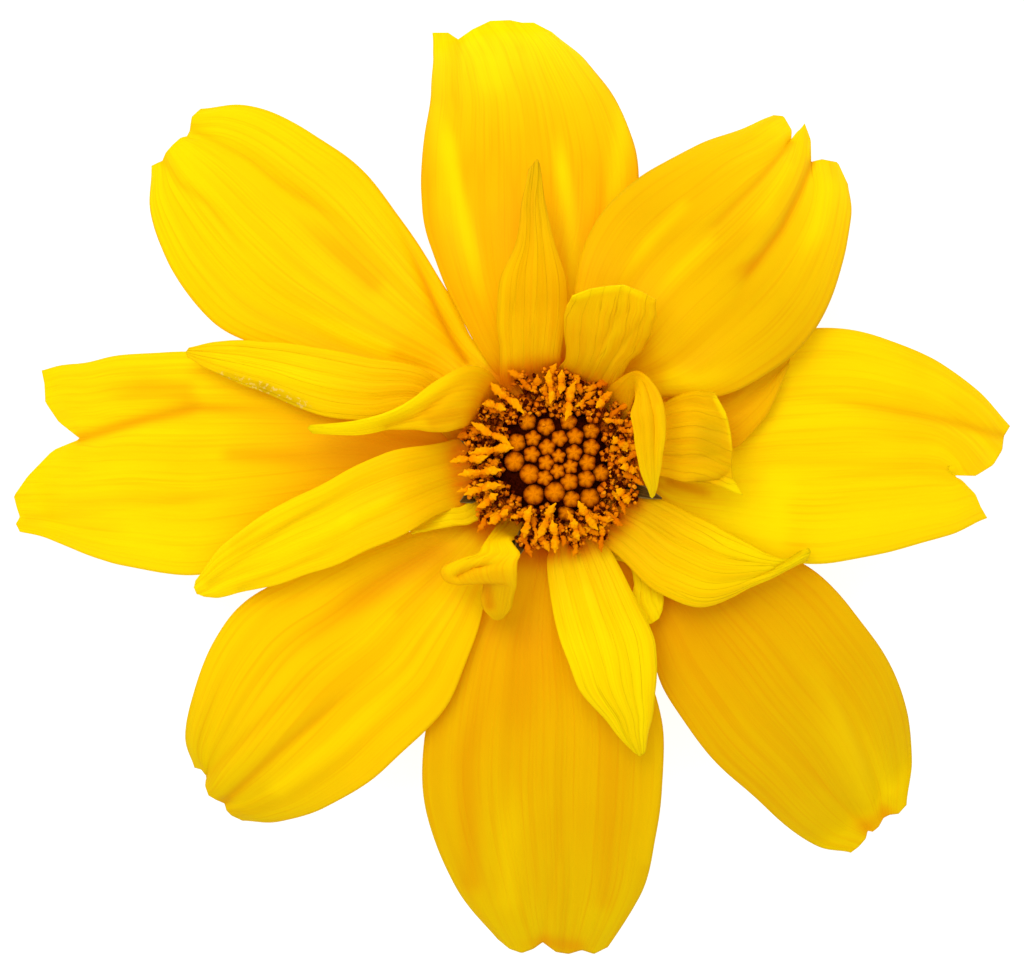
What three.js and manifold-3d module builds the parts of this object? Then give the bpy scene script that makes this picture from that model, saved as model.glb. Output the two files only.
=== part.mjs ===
// Semi-double yellow bidens: one cut bloom that lies face up on its petal tips.
//
// Plan places are in millimetres from the middle of the disc, +X to the right and +Y away from
// the viewer, and heights are above the surface that the bloom rests on. At the end the whole
// bloom is shifted so that the origin is the middle of its footprint.
//
// The pieces, from below: a short stub of stem, a collar of narrow outer bracts, the cup of
// overlapping inner bracts, eight broad ray petals, thirteen smaller inner petals, and the disc
// with its closed buds in the middle and its open florets round them.

import * as THREE from 'three';
import { mergeVertices } from 'three/addons/utils/BufferGeometryUtils.js';
import Module from 'manifold-3d';

const wasm = await Module();
wasm.setup();

// Driving dimensions
const BLADE = 0.6; // thickness of a petal or bract
const LEVEL = 1.0; // height from one layer of petals to the next
const SEAT_GAP = 0.3; // between pieces that rest on each other

const STEM_RADIUS = 0.75;
const STEM_END = 0.7; // the cut end, clear of the surface
const STEM_TOP = 2.0;
const COLLAR_RADIUS = 1.35;
const COLLAR_TOP = 2.9;
const CUP_FOOT_RADIUS = 1.5;
const CUP_RIM_RADIUS = 4.1;
const CUP_RIM = 6.6;

const OUTER_SEAT = CUP_RIM + SEAT_GAP + BLADE / 2; // middle of the outer claws
const INNER_SEAT = OUTER_SEAT + BLADE + SEAT_GAP; // middle of the inner claws
const OUTER_CLAW_START = 3.5;
const INNER_CLAW_START = 3.0;
const CLAW_LENGTH = 1.1;
const LIFT_START = 4.4; // where a petal leaves its seat for its own layer
const LIFT_END = 8.0;
const CREST_RADIUS = 9.5; // where the petals stop rising and begin to droop
const CREST = 7.7;
const FULL_RELIEF_WIDTH = 3; // a narrower stretch of petal is flatter across

const PLUG_RADIUS = 2.6; // the disc's foot, inside the claws
const DOME_RADIUS = 2.95;
const DOME_EDGE = 9.5;
const DOME_TOP = 10.3;
const BUD_COUNT = 29;
const BUD_STEP = 0.455; // spiral growth of the closed buds
const BUD_RADIUS_MIDDLE = 0.36;
const BUD_RADIUS_EDGE = 0.44;
const GOLDEN_ANGLE = THREE.MathUtils.degToRad(137.508);
const SPIRAL_MIDDLE = new THREE.Vector2(0.21, -0.02);
const SPIRAL_START = THREE.MathUtils.degToRad(62.4);

const RING_INNER = DOME_RADIUS + SEAT_GAP;
const RING_OUTER = 3.9;
const RING_GAP = { middle: -122, half: 16 }; // degrees, where one petal's neck comes through the florets
const RING_BOTTOM = INNER_SEAT + BLADE / 2 + SEAT_GAP;
const RING_TOP = 9.6;

const { clamp, degToRad, smoothstep } = THREE.MathUtils;

// Colours
const finish = (color, roughness) => new THREE.MeshStandardMaterial({ color, roughness, metalness: 0 });
const RAY_YELLOW = 0xffd400;
const INNER_YELLOW = 0xf2c200;
const BUD_ORANGE = 0xe08a10;
const FLORET_ORANGE = 0xd9701a;
const BRACT_GREEN = 0x5c6b38;
const STEM_GREEN = 0x6d8a3c;

// Solids

/** A manifold solid of a closed geometry, whatever its uv seams and split normals. */
function solidOf(geometry) {
  const bare = geometry.clone();
  bare.deleteAttribute('normal');
  bare.deleteAttribute('uv');
  const merged = mergeVertices(bare, 1e-4);
  const mesh = new wasm.Mesh({
    numProp: 3,
    vertProperties: new Float32Array(merged.attributes.position.array),
    triVerts: new Uint32Array(merged.index.array),
  });
  return new wasm.Manifold(mesh);
}

/** The geometry of a manifold solid, with one flat normal for each face. */
function geometryOf(solid) {
  const mesh = solid.getMesh();
  const geometry = new THREE.BufferGeometry();
  geometry.setAttribute('position', new THREE.BufferAttribute(mesh.vertProperties, 3));
  geometry.setIndex(new THREE.BufferAttribute(mesh.triVerts, 1));
  geometry.computeVertexNormals();
  return geometry;
}

/** One geometry of many that grow out of each other. */
function fused(geometries) {
  return geometryOf(geometries.map(solidOf).reduce((whole, next) => whole.add(next)));
}

/** A turned solid of [radius, height] pairs that start and end on the axis. */
function turned(profile, sides) {
  const points = profile.map(([radius, height]) => new THREE.Vector2(radius, height));
  const geometry = new THREE.LatheGeometry(points, sides);
  geometry.rotateX(Math.PI / 2);
  return geometry;
}

/**
 * A blade: the middle surface at(u, v), thickened to both sides. u runs from the root to the
 * tip, v from the left margin to the right one. Both faces are split into the same triangles.
 */
function blade(at, uStops, vStops) {
  const positions = [];
  for (const side of [0.5, -0.5]) {
    for (const u of uStops) {
      for (const v of vStops) {
        positions.push(...at(u, v).addScaledVector(facing(at, u, v), side * BLADE));
      }
    }
  }
  const columns = vStops.length;
  const lower = uStops.length * columns;
  const index = [];
  const quad = (a, b, c, d) => index.push(a, b, c, a, c, d);
  for (let row = 0; row < uStops.length - 1; row += 1) {
    const first = row * columns;
    for (let column = 0; column < columns - 1; column += 1) {
      const a = first + column;
      const d = a + columns;
      quad(a, a + 1, d + 1, d);
      index.push(lower + a, lower + d + 1, lower + a + 1, lower + a, lower + d, lower + d + 1);
    }
    const left = first;
    const right = first + columns - 1;
    quad(left, left + columns, lower + left + columns, lower + left);
    quad(right, lower + right, lower + right + columns, right + columns);
  }
  for (let column = 0; column < columns - 1; column += 1) {
    const root = column;
    const tip = lower - columns + column;
    quad(root, lower + root, lower + root + 1, root + 1);
    quad(tip, tip + 1, lower + tip + 1, lower + tip);
  }
  const geometry = new THREE.BufferGeometry();
  geometry.setAttribute('position', new THREE.Float32BufferAttribute(positions, 3));
  geometry.setIndex(index);
  geometry.computeVertexNormals();
  return geometry;
}

/** The upward normal of a middle surface. A stretch that lies on the ground faces straight up. */
function facing(at, u, v) {
  const step = 0.004;
  const here = at(u, v);
  if (here.z <= BLADE / 2) {
    return new THREE.Vector3(0, 0, 1);
  }
  const along = at(Math.min(u + step, 1), v).sub(at(Math.max(u - step, 0), v));
  const across = at(u, Math.min(v + step, 1)).sub(at(u, Math.max(v - step, 0)));
  return across.cross(along).normalize();
}

// Petals

/** Where a petal's claw sits on the rim: the left and right end of a line across it. */
function clawRib(angle, radius, half, height) {
  const middle = new THREE.Vector3(radius * Math.cos(angle), radius * Math.sin(angle), height);
  const toLeft = new THREE.Vector3(-Math.sin(angle), Math.cos(angle), 0);
  return [
    middle.clone().addScaledVector(toLeft, half),
    middle.clone().addScaledVector(toLeft, -half),
  ];
}

/** The height of a petal that arches over the rim and droops, at a distance from the axis. */
function archHeight(distance, { seat, lift, tipHeight, reach, bend }) {
  const climb = clamp((distance - OUTER_CLAW_START) / (CREST_RADIUS - OUTER_CLAW_START), 0, 1);
  const risen = seat + (CREST - seat) * Math.sin((climb * Math.PI) / 2);
  const lifted = lift * smoothstep(distance, LIFT_START, LIFT_END);
  const past = Math.max(0, (distance - CREST_RADIUS) / (reach - CREST_RADIUS));
  return risen + lifted - (CREST + lift - tipHeight) * past ** bend;
}

/**
 * The middle surface of a petal. Its left and right margins are curves through the ribs, and
 * its tip runs through the petal's own tip points, which carry the teeth and notches.
 */
function petalSurface(petal) {
  const inner = petal.row === 'inner';
  const seat = inner ? INNER_SEAT : OUTER_SEAT;
  const start = inner ? INNER_CLAW_START : OUTER_CLAW_START;
  const angle = degToRad(petal.claw);
  const half = petal.clawHalf;
  const ribs = [clawRib(angle, start, half, seat), clawRib(angle, start + CLAW_LENGTH, half * 1.25, seat)];
  for (const [leftX, leftY, rightX, rightY, leftZ = 0, rightZ = 0] of petal.ribs) {
    ribs.push([new THREE.Vector3(leftX, leftY, leftZ), new THREE.Vector3(rightX, rightY, rightZ)]);
  }
  const margin = (side) => new THREE.CatmullRomCurve3(ribs.map((rib) => rib[side]), false, 'catmullrom', 0.5);
  const [left, right] = [margin(0), margin(1)];
  const [lastLeft, lastRight] = ribs[ribs.length - 1];
  const tip = petal.tip.map(([x, y]) => new THREE.Vector2(x, y));
  const arch = { seat, lift: petal.level * LEVEL, tipHeight: petal.tipHeight, reach: petal.reach, bend: petal.bend };

  return (u, v) => {
    const [leftPoint, rightPoint] = [left.getPoint(u), right.getPoint(u)];
    const width = leftPoint.distanceTo(rightPoint);
    const point = leftPoint.lerp(rightPoint, v);
    const place = v * (tip.length - 1);
    const before = Math.min(Math.floor(place), tip.length - 2);
    const edge = tip[before].clone().lerp(tip[before + 1], place - before);
    const straight = lastLeft.clone().lerp(lastRight, v);
    const near = smoothstep(u, petal.tipStart, 1);
    point.x += near * (edge.x - straight.x);
    point.y += near * (edge.y - straight.y);
    if (petal.tipHeight !== undefined) {
      point.z = archHeight(Math.hypot(point.x, point.y), arch);
    }
    const open = smoothstep(u, 0.12, 0.4) * Math.min(1, width / FULL_RELIEF_WIDTH);
    const middle = 1 - (2 * v - 1) ** 2;
    point.z += open * petal.crown * (middle - 0.5);
    for (const groove of petal.grooves) {
      point.z -= open * petal.fold * Math.max(0, 1 - Math.abs(v - groove) / 0.1);
    }
    point.z = Math.max(point.z, BLADE / 2);
    return point;
  };
}

/** Stops from 0 to 1, closer together towards 1 so that a tip's curve and teeth show. */
function stops(count, crowding) {
  return Array.from({ length: count + 1 }, (_, step) => 1 - (1 - step / count) ** crowding);
}

function petalGeometry(petal) {
  const across = Math.max(petal.tip.length - 1, 6);
  return blade(petalSurface(petal), stops(petal.rows, 1.25), stops(across, 1));
}

// The eight broad rays. A rib is [left x, left y, right x, right y], left being the margin that
// lies anticlockwise, seen from above. Level counts the layers from the lowest ray up, and the
// tip points run from the left margin to the right one.
const RAY = { row: 'outer', rows: 11, clawHalf: 0.72, crown: 0.35, fold: 0.16, tipStart: 0.74, bend: 1.6 };

const rays = {
  ray_north: {
    ...RAY, claw: 100, level: 0.95, tipHeight: -0.6, reach: 22.0, bend: 2.1, grooves: [0.25, 0.66],
    ribs: [
      [-3.9, 6.1, 1.9, 6.0],
      [-5.35, 9.0, 3.1, 9.0],
      [-6.3, 12.0, 4.2, 12.0],
      [-6.4, 15.0, 4.4, 15.0],
      [-6.0, 18.0, 3.2, 18.1],
      [-5.85, 20.0, 1.8, 20.0],
      [-5.9, 21.45, 0.1, 21.45],
    ],
    tip: [
      [-5.9, 21.45], [-5.1, 21.45], [-4.6, 21.1], [-3.9, 21.6], [-3.0, 22.05], [-2.0, 22.1],
      [-1.4, 21.95], [-0.8, 21.95], [0.1, 21.45],
    ],
  },
  ray_northeast: {
    ...RAY, claw: 50, level: 3.15, tipHeight: 3.2, reach: 20.5, grooves: [0.3, 0.7],
    ribs: [
      [1.5, 6.0, 5.3, 3.45],
      [1.25, 8.8, 8.3, 3.3],
      [2.3, 12.0, 11.0, 4.4],
      [4.6, 14.15, 13.2, 6.4],
      [7.4, 15.75, 14.5, 9.5],
      [9.8, 16.65, 15.05, 12.0],
      [11.2, 17.25, 14.9, 13.8],
    ],
    tip: [
      [11.2, 17.25], [11.7, 17.2], [12.1, 16.5], [12.05, 15.9], [12.35, 16.35], [12.75, 16.85],
      [13.05, 16.0], [13.05, 14.9], [13.6, 15.05], [14.4, 14.9], [14.9, 13.8],
    ],
  },
  ray_east: {
    ...RAY, claw: 3, level: 0.95, tipHeight: 1.2, reach: 23.2, grooves: [0.3, 0.6],
    ribs: [
      [6.6, 2.4, 6.6, -2.3],
      [9.6, 5.4, 9.6, -4.2],
      [12.8, 6.6, 12.8, -5.2],
      [16.0, 6.25, 16.0, -4.8],
      [19.0, 5.15, 19.0, -4.05],
      [21.4, 3.5, 20.8, -3.4],
      [23.05, 1.7, 21.9, -2.9],
    ],
    tip: [
      [23.05, 1.7], [22.75, 1.2], [22.65, 0.5], [22.2, -0.25], [21.3, -0.8], [20.2, -0.75],
      [20.7, -1.1], [21.3, -1.7], [21.55, -2.3], [21.9, -2.9],
    ],
  },
  ray_southeast: {
    ...RAY, claw: -42, level: 0, tipHeight: -0.6, reach: 24.3, bend: 1.7, grooves: [0.33, 0.66],
    ribs: [
      [6.4, -2.9, 4.3, -5.1],
      [9.9, -3.9, 4.7, -8.6],
      [13.2, -5.6, 5.75, -11.5],
      [15.8, -8.3, 7.9, -14.65],
      [17.6, -11.6, 10.6, -17.25],
      [18.15, -14.8, 13.2, -19.25],
      [17.9, -17.3, 15.1, -19.7],
    ],
    tip: [
      [17.9, -17.3], [17.5, -17.75], [17.05, -17.8], [16.75, -17.95], [16.5, -18.4],
      [16.2, -18.65], [15.95, -18.6], [15.85, -19.0], [15.5, -19.4], [15.1, -19.7],
    ],
  },
  ray_south: {
    ...RAY, claw: -92, level: 0, tipHeight: 0.7, reach: 24.8, grooves: [0.36, 0.62],
    ribs: [
      [2.5, -6.4, -3.1, -6.5],
      [4.05, -9.2, -4.9, -9.3],
      [5.45, -12.1, -6.0, -12.4],
      [5.65, -15.2, -6.4, -15.8],
      [5.35, -18.4, -5.9, -18.6],
      [4.6, -21.6, -4.65, -21.5],
      [2.9, -24.4, -2.6, -24.0],
    ],
    tip: [
      [2.9, -24.4], [2.2, -24.75], [1.6, -24.55], [0.95, -24.75], [0.3, -24.65], [-0.35, -24.15],
      [-0.85, -24.5], [-1.4, -24.7], [-2.0, -24.5], [-2.6, -24.0],
    ],
  },
  ray_southwest: {
    ...RAY, claw: -136, level: 0.95, tipHeight: 1.9, reach: 23.2, grooves: [0.33, 0.72],
    ribs: [
      [-2.95, -6.0, -6.0, -3.2],
      [-3.75, -8.9, -9.4, -4.3],
      [-5.2, -12.2, -12.9, -5.7],
      [-7.7, -15.0, -15.9, -7.7],
      [-10.6, -17.05, -17.6, -11.0],
      [-13.3, -18.05, -18.25, -13.8],
      [-15.4, -18.05, -17.8, -15.4],
    ],
    tip: [
      [-15.4, -18.05], [-15.95, -17.8], [-16.2, -17.55], [-16.3, -17.2], [-16.75, -17.0],
      [-17.1, -16.8], [-17.25, -16.35], [-17.2, -15.85], [-17.45, -15.5], [-17.8, -15.4],
    ],
  },
  ray_west: {
    ...RAY, claw: 181, level: 0.95, crown: 0.25, tipHeight: -0.6, reach: 26.2, bend: 1.7, grooves: [0.18, 0.64], tipStart: 0.68,
    ribs: [
      [-7.0, -2.2, -7.0, 2.3],
      [-10.8, -3.9, -10.8, 4.4],
      [-14.6, -5.2, -14.6, 5.2],
      [-18.2, -5.7, -18.2, 5.4],
      [-21.4, -5.3, -21.4, 5.25],
      [-24.2, -4.3, -23.8, 4.85],
      [-26.6, -3.6, -25.5, 4.5],
    ],
    tip: [
      [-26.6, -3.6], [-26.8, -3.2], [-26.6, -2.85], [-26.75, -2.4], [-26.9, -1.8], [-26.2, -0.8],
      [-24.9, 0.5], [-23.5, 1.05], [-24.6, 1.9], [-25.3, 2.9], [-25.35, 3.8], [-25.5, 4.5],
    ],
  },
  ray_northwest: {
    ...RAY, claw: 138, level: 0, tipHeight: 1.4, reach: 24.5, grooves: [0.2, 0.7], bend: 1.4,
    ribs: [
      [-6.0, 3.8, -3.8, 5.9],
      [-9.9, 4.5, -5.2, 8.6],
      [-13.6, 5.4, -6.9, 11.2],
      [-16.7, 6.8, -9.2, 14.3],
      [-18.9, 9.5, -12.0, 16.45],
      [-20.0, 12.5, -15.2, 17.75],
      [-19.95, 14.75, -17.5, 17.6],
    ],
    tip: [
      [-19.95, 14.75], [-19.65, 14.9], [-19.4, 15.0], [-19.25, 15.4], [-18.9, 15.8], [-18.5, 16.15],
      [-18.2, 16.2], [-18.05, 16.5], [-17.95, 17.2], [-17.5, 17.6],
    ],
  },
};

// The inner petals. Where a rib has six numbers, the last two are the heights of its ends.
const INNER = { row: 'inner', rows: 8, clawHalf: 0.5, crown: 0.3, fold: 0.1, tipStart: 0.8, bend: 1.5, grooves: [0.33, 0.67] };

const innerPetals = {
  petal_north: {
    ...INNER, claw: 103, rows: 9,
    ribs: [
      [-2.5, 5.4, 0.4, 5.4, 9.4, 9.4],
      [-2.65, 7.2, 0.85, 7.1, 10.8, 10.8],
      [-2.5, 9.0, 0.8, 9.0, 11.7, 11.7],
      [-1.65, 10.9, 0.15, 10.9, 12.1, 12.1],
      [-1.35, 12.9, -0.2, 12.9, 11.9, 11.9],
      [-0.9, 14.8, -0.35, 14.8, 11.4, 11.4],
    ],
    tip: [[-0.9, 14.8], [-0.6, 15.05], [-0.35, 14.8]],
  },
  petal_north_northeast: {
    ...INNER, claw: 66, clawHalf: 0.6, rows: 7, tipStart: 0.6,
    ribs: [
      [0.95, 5.1, 3.5, 4.7, 10.2, 10.6],
      [0.75, 6.4, 4.8, 5.8, 12.2, 12.1],
      [0.75, 7.4, 5.2, 7.0, 13.8, 13.6],
      [1.1, 8.15, 5.3, 7.95, 14.9, 14.6],
    ],
    tip: [[1.1, 8.15], [2.0, 8.5], [2.9, 8.65], [3.7, 8.7], [4.6, 8.35], [5.3, 7.95]],
  },
  petal_east_northeast: {
    ...INNER, claw: 40, clawHalf: 0.42, rows: 12, crown: 0.15, tipStart: 0.9,
    ribs: [
      [3.95, 4.35, 4.25, 3.45, 10.7, 10.7],
      [4.75, 4.25, 4.3, 3.25, 12.6, 12.8],
      [5.45, 3.3, 4.35, 2.5, 13.3, 13.4],
      [5.75, 1.6, 4.55, 1.4, 13.2, 13.3],
      [5.6, 0.2, 4.65, 0.0, 12.8, 12.9],
      [5.4, -0.9, 4.85, -1.1, 12.3, 12.4],
      [5.2, -1.75, 5.0, -1.8, 11.9, 11.9],
    ],
    tip: [[5.2, -1.75], [5.08, -1.88], [5.0, -1.8]],
  },
  petal_east: {
    ...INNER, claw: 10, clawHalf: 0.6, rows: 7, tipStart: 0.6,
    ribs: [
      [5.3, 2.6, 5.3, -0.75, 9.7, 9.7],
      [6.5, 3.25, 6.6, -1.05, 11.3, 11.2],
      [7.5, 3.45, 7.9, -1.15, 12.2, 11.8],
      [8.2, 3.35, 9.7, -1.75, 12.6, 11.7],
    ],
    tip: [[8.2, 3.35], [8.65, 2.6], [8.95, 1.6], [9.1, 0.6], [9.1, -0.3], [9.2, -1.0], [9.7, -1.75]],
  },
  petal_east_lower: {
    ...INNER, row: 'outer', claw: 26.5, clawHalf: 0.4, level: 1.9, tipHeight: 8.4, reach: 13.5, crown: 0,
    ribs: [
      [6.1, 3.5, 6.6, 2.6],
      [8.2, 5.5, 8.9, 0.6],
      [10.2, 6.5, 10.7, 2.1],
      [11.5, 6.2, 11.9, 4.6],
    ],
    tip: [[11.5, 6.2], [11.9, 5.6], [12.0, 5.1], [11.9, 4.6]],
  },
  petal_southeast: {
    ...INNER, claw: -40, clawHalf: 0.6, level: 1.95, tipHeight: 8.0, reach: 13.7, rows: 9,
    ribs: [
      [5.3, -1.9, 3.4, -4.8],
      [7.2, -2.2, 5.4, -6.6],
      [9.2, -2.8, 7.6, -7.35],
      [11.0, -3.6, 10.0, -6.4],
      [12.4, -4.2, 11.8, -5.25],
      [13.0, -4.45, 12.8, -4.7],
    ],
    tip: [[13.0, -4.45], [12.97, -4.58], [12.8, -4.7]],
  },
  petal_southeast_lower: {
    ...INNER, row: 'outer', claw: -66, clawHalf: 0.4, level: 1.1, tipHeight: 8.6, reach: 10.0, rows: 6,
    ribs: [
      [3.4, -4.95, 3.2, -5.15],
      [4.5, -5.8, 3.75, -6.7],
      [5.5, -6.6, 4.15, -7.8],
      [5.6, -7.5, 4.7, -8.25],
    ],
    tip: [[5.6, -7.5], [5.45, -7.9], [5.1, -8.15], [4.7, -8.25]],
  },
  petal_south: {
    ...INNER, claw: -73, clawHalf: 0.6, level: 2.1, tipHeight: 7.4, reach: 15.5, rows: 9,
    ribs: [
      [2.9, -5.05, -0.15, -5.3],
      [4.2, -7.2, 0.1, -7.3],
      [5.25, -9.1, 0.6, -9.3],
      [5.3, -11.0, 1.5, -11.4],
      [5.05, -12.9, 2.9, -13.2],
      [4.75, -14.6, 4.2, -14.6],
    ],
    tip: [[4.75, -14.6], [4.5, -14.8], [4.2, -14.6]],
  },
  petal_south_southwest: {
    ...INNER, claw: -121, clawHalf: 0.42, rows: 12, crown: 0.2, fold: 0.0, tipStart: 0.9,
    ribs: [
      [-1.9, -4.2, -3.4, -4.4, 9.9, 9.9],
      [-1.6, -4.7, -4.4, -5.0, 10.7, 10.7],
      [-1.65, -5.4, -5.25, -5.6, 11.0, 10.7],
      [-1.65, -6.0, -4.7, -6.15, 10.8, 10.6],
      [-1.7, -6.6, -3.6, -6.4, 10.5, 10.4],
      [-1.9, -7.3, -3.45, -7.2, 10.1, 10.0],
      [-2.35, -7.9, -2.85, -7.95, 9.8, 9.8],
    ],
    tip: [[-2.35, -7.9], [-2.6, -8.0], [-2.85, -7.95]],
  },
  petal_west_southwest: {
    ...INNER, claw: -172, clawHalf: 0.55, level: 2.9, crown: 0.1, tipHeight: 6.0, reach: 19.0, rows: 10,
    ribs: [
      [-5.4, -2.65, -5.7, 0.8],
      [-7.8, -3.95, -8.2, 0.35],
      [-10.6, -5.2, -11.1, -1.05],
      [-13.4, -6.1, -13.9, -2.5],
      [-15.8, -6.75, -16.3, -4.2],
      [-17.2, -6.85, -17.7, -6.0],
    ],
    tip: [[-17.2, -6.85], [-17.65, -6.7], [-17.8, -6.35], [-17.7, -6.0]],
  },
  petal_west_southwest_lower: {
    ...INNER, claw: -147, clawHalf: 0.36, crown: 0, rows: 6,
    ribs: [
      [-4.2, -3.0, -4.45, -2.4, 8.45, 8.4],
      [-5.7, -3.4, -5.9, -2.9, 9.1, 8.7],
      [-6.9, -3.7, -7.1, -3.2, 9.3, 8.9],
    ],
    tip: [[-6.9, -3.7], [-7.05, -3.45], [-7.1, -3.2]],
  },
  petal_west: {
    ...INNER, claw: 140, clawHalf: 0.5, rows: 10, crown: 0.1, fold: 0.0, tipStart: 0.9,
    ribs: [
      [-4.6, 2.0, -3.35, 4.6, 9.8, 10.6],
      [-5.4, 1.4, -4.6, 4.55, 10.5, 12.0],
      [-6.6, 1.5, -6.2, 3.6, 10.9, 12.2],
      [-8.0, 1.5, -7.6, 2.6, 11.2, 12.0],
      [-9.75, 1.25, -9.5, 2.0, 11.4, 11.7],
      [-11.85, 1.35, -11.95, 1.75, 11.1, 11.3],
    ],
    tip: [[-11.85, 1.35], [-12.1, 1.6], [-11.95, 1.75]],
  },
  petal_west_northwest: {
    ...INNER, row: 'outer', claw: 160, clawHalf: 0.36, level: 1.95, tipHeight: 6.8, reach: 19.0, bend: 1.7, rows: 9,
    ribs: [
      [-6.6, 2.4, -6.3, 4.5],
      [-9.2, 2.0, -8.9, 5.05],
      [-11.7, 2.3, -11.3, 5.55],
      [-14.0, 3.25, -13.8, 5.9],
      [-16.2, 4.1, -16.2, 5.95],
      [-18.1, 5.15, -18.05, 5.6],
    ],
    tip: [[-18.1, 5.15], [-18.2, 5.4], [-18.05, 5.6]],
  },
};

// Green parts

function stemGeometry() {
  return turned([[0, STEM_END], [STEM_RADIUS, STEM_END], [STEM_RADIUS, STEM_TOP - 0.5],
    [COLLAR_RADIUS - 0.15, STEM_TOP], [0, STEM_TOP]], 14);
}

/** A bract: a narrow blade that leaves a ring at one radius and height and ends in a point. */
function bract(angle, course, widths) {
  const middle = new THREE.CatmullRomCurve3(
    course.map(([radius, height]) => new THREE.Vector3(radius, 0, height)), false, 'catmullrom', 0.5);
  const width = new THREE.SplineCurve(widths.map((half, step) => new THREE.Vector2(step, half)));
  const at = (u, v) => {
    const point = middle.getPoint(u);
    point.y = (1 - 2 * v) * width.getPoint(u).y;
    return point;
  };
  const geometry = blade(at, stops(5, 1), stops(2, 1));
  geometry.rotateZ(angle);
  return geometry;
}

/** Eight narrow outer bracts that spread below the petals from one collar. */
function outerBractsGeometry() {
  const bottom = STEM_TOP + SEAT_GAP;
  const collar = turned([[0, bottom], [COLLAR_RADIUS, bottom], [COLLAR_RADIUS, COLLAR_TOP], [0, COLLAR_TOP]], 16);
  const bracts = Array.from({ length: 8 }, (_, step) => {
    const droop = step % 2 === 0 ? 0 : 0.35;
    const course = [[0.8, 2.6], [2.6, 2.75 - droop], [4.6, 3.1 - droop], [6.4, 3.2 - 2 * droop]];
    return bract((step + 0.25) * (Math.PI / 4), course, [0.5, 0.55, 0.6, 0.14]);
  });
  return fused([collar, ...bracts]);
}

/** The cup of the head: its core, wrapped by eight inner bracts with free tips. */
function cupGeometry() {
  const foot = COLLAR_TOP + SEAT_GAP;
  const core = turned([[0, foot], [CUP_FOOT_RADIUS, foot], [3.0, foot + 0.9], [3.6, foot + 2.0],
    [CUP_RIM_RADIUS - 0.3, CUP_RIM], [0, CUP_RIM]], 16);
  const bracts = Array.from({ length: 8 }, (_, step) => bract(
    (step + 0.5) * (Math.PI / 4),
    [[1.7, foot + 0.35], [3.15, foot + 0.95], [3.75, foot + 2.0], [CUP_RIM_RADIUS + 0.75, CUP_RIM - 0.35]],
    [0.5, 1.2, 1.4, 0.25]));
  return fused([core, ...bracts]);
}

// Disc

/** The top of the disc at a distance from its middle. */
function domeHeight(distance) {
  return DOME_TOP - (DOME_TOP - DOME_EDGE) * (distance / DOME_RADIUS) ** 2;
}

/** A closed bud: round, with five lobes that meet in a star at the top. */
function budGeometry(place, radius) {
  const lobed = (u, v) => {
    const turn = v * Math.PI * 2;
    const lobe = 0.84 + 0.12 * Math.cos(5 * turn);
    const [reach, height] = [[0, -1.6], [lobe, 0.3], [0, 0.65]][Math.round(u * 2)];
    return [reach * radius * Math.cos(turn), reach * radius * Math.sin(turn), height * radius];
  };
  return wrapped(lobed, 2, 10).translate(place.x, place.y, domeHeight(place.length()) + radius * 0.3);
}

/** A closed geometry of rings round an axis, the first and last of them closed to a point. */
function wrapped(ringPoint, rings, sides) {
  const positions = [];
  for (let ring = 1; ring < rings; ring += 1) {
    for (let side = 0; side < sides; side += 1) {
      positions.push(...ringPoint(ring / rings, side / sides));
    }
  }
  const foot = positions.length / 3;
  positions.push(...ringPoint(0, 0), ...ringPoint(1, 0));
  const index = [];
  for (let side = 0; side < sides; side += 1) {
    const next = (side + 1) % sides;
    index.push(foot, next, side);
    for (let ring = 0; ring < rings - 2; ring += 1) {
      const a = ring * sides + side;
      const b = ring * sides + next;
      index.push(a, b, b + sides, a, b + sides, a + sides);
    }
    const last = (rings - 2) * sides;
    index.push(last + side, last + next, foot + 1);
  }
  const geometry = new THREE.BufferGeometry();
  geometry.setAttribute('position', new THREE.Float32BufferAttribute(positions, 3));
  geometry.setIndex(index);
  geometry.computeVertexNormals();
  return geometry;
}

/** The middle of the disc: its foot and dome, with the closed buds in a spiral. */
function budsGeometry() {
  const foot = CUP_RIM + SEAT_GAP;
  const dome = turned([[0, foot], [PLUG_RADIUS, foot], [PLUG_RADIUS, RING_BOTTOM - 0.2],
    [DOME_RADIUS, RING_BOTTOM + 0.4], [DOME_RADIUS, DOME_EDGE], [DOME_RADIUS * 0.66, domeHeight(DOME_RADIUS * 0.66)],
    [DOME_RADIUS * 0.33, domeHeight(DOME_RADIUS * 0.33)], [0, DOME_TOP]], 18);
  const buds = Array.from({ length: BUD_COUNT }, (_, step) => {
    const reach = BUD_STEP * Math.sqrt(step + 0.5);
    const place = new THREE.Vector2(reach, 0).rotateAround(new THREE.Vector2(), SPIRAL_START + step * GOLDEN_ANGLE);
    const share = step / (BUD_COUNT - 1);
    const radius = BUD_RADIUS_MIDDLE + share * (BUD_RADIUS_EDGE - BUD_RADIUS_MIDDLE);
    return budGeometry(place.add(SPIRAL_MIDDLE).clampLength(0, DOME_RADIUS - radius), radius);
  });
  return fused([dome, ...buds]);
}

/** An open floret: a funnel that ends in five lobes, with its column of anthers and style. */
function floretParts(lean, height) {
  const corolla = (u, v) => {
    const turn = v * Math.PI * 2;
    const lobe = Math.cos(5 * turn) > 0 ? 1 : 0.55;
    const [reach, rise] = [[0, -0.5], [0.48 * lobe, height], [0, height - 0.12]][Math.round(u * 2)];
    return [reach * Math.cos(turn), reach * Math.sin(turn), rise];
  };
  const column = new THREE.CylinderGeometry(0.1, 0.16, 1.2, 3);
  column.rotateX(Math.PI / 2).translate(0, 0, height + 0.25);
  return [wrapped(corolla, 2, 10), column].map((piece) => piece.rotateY(lean));
}

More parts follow.
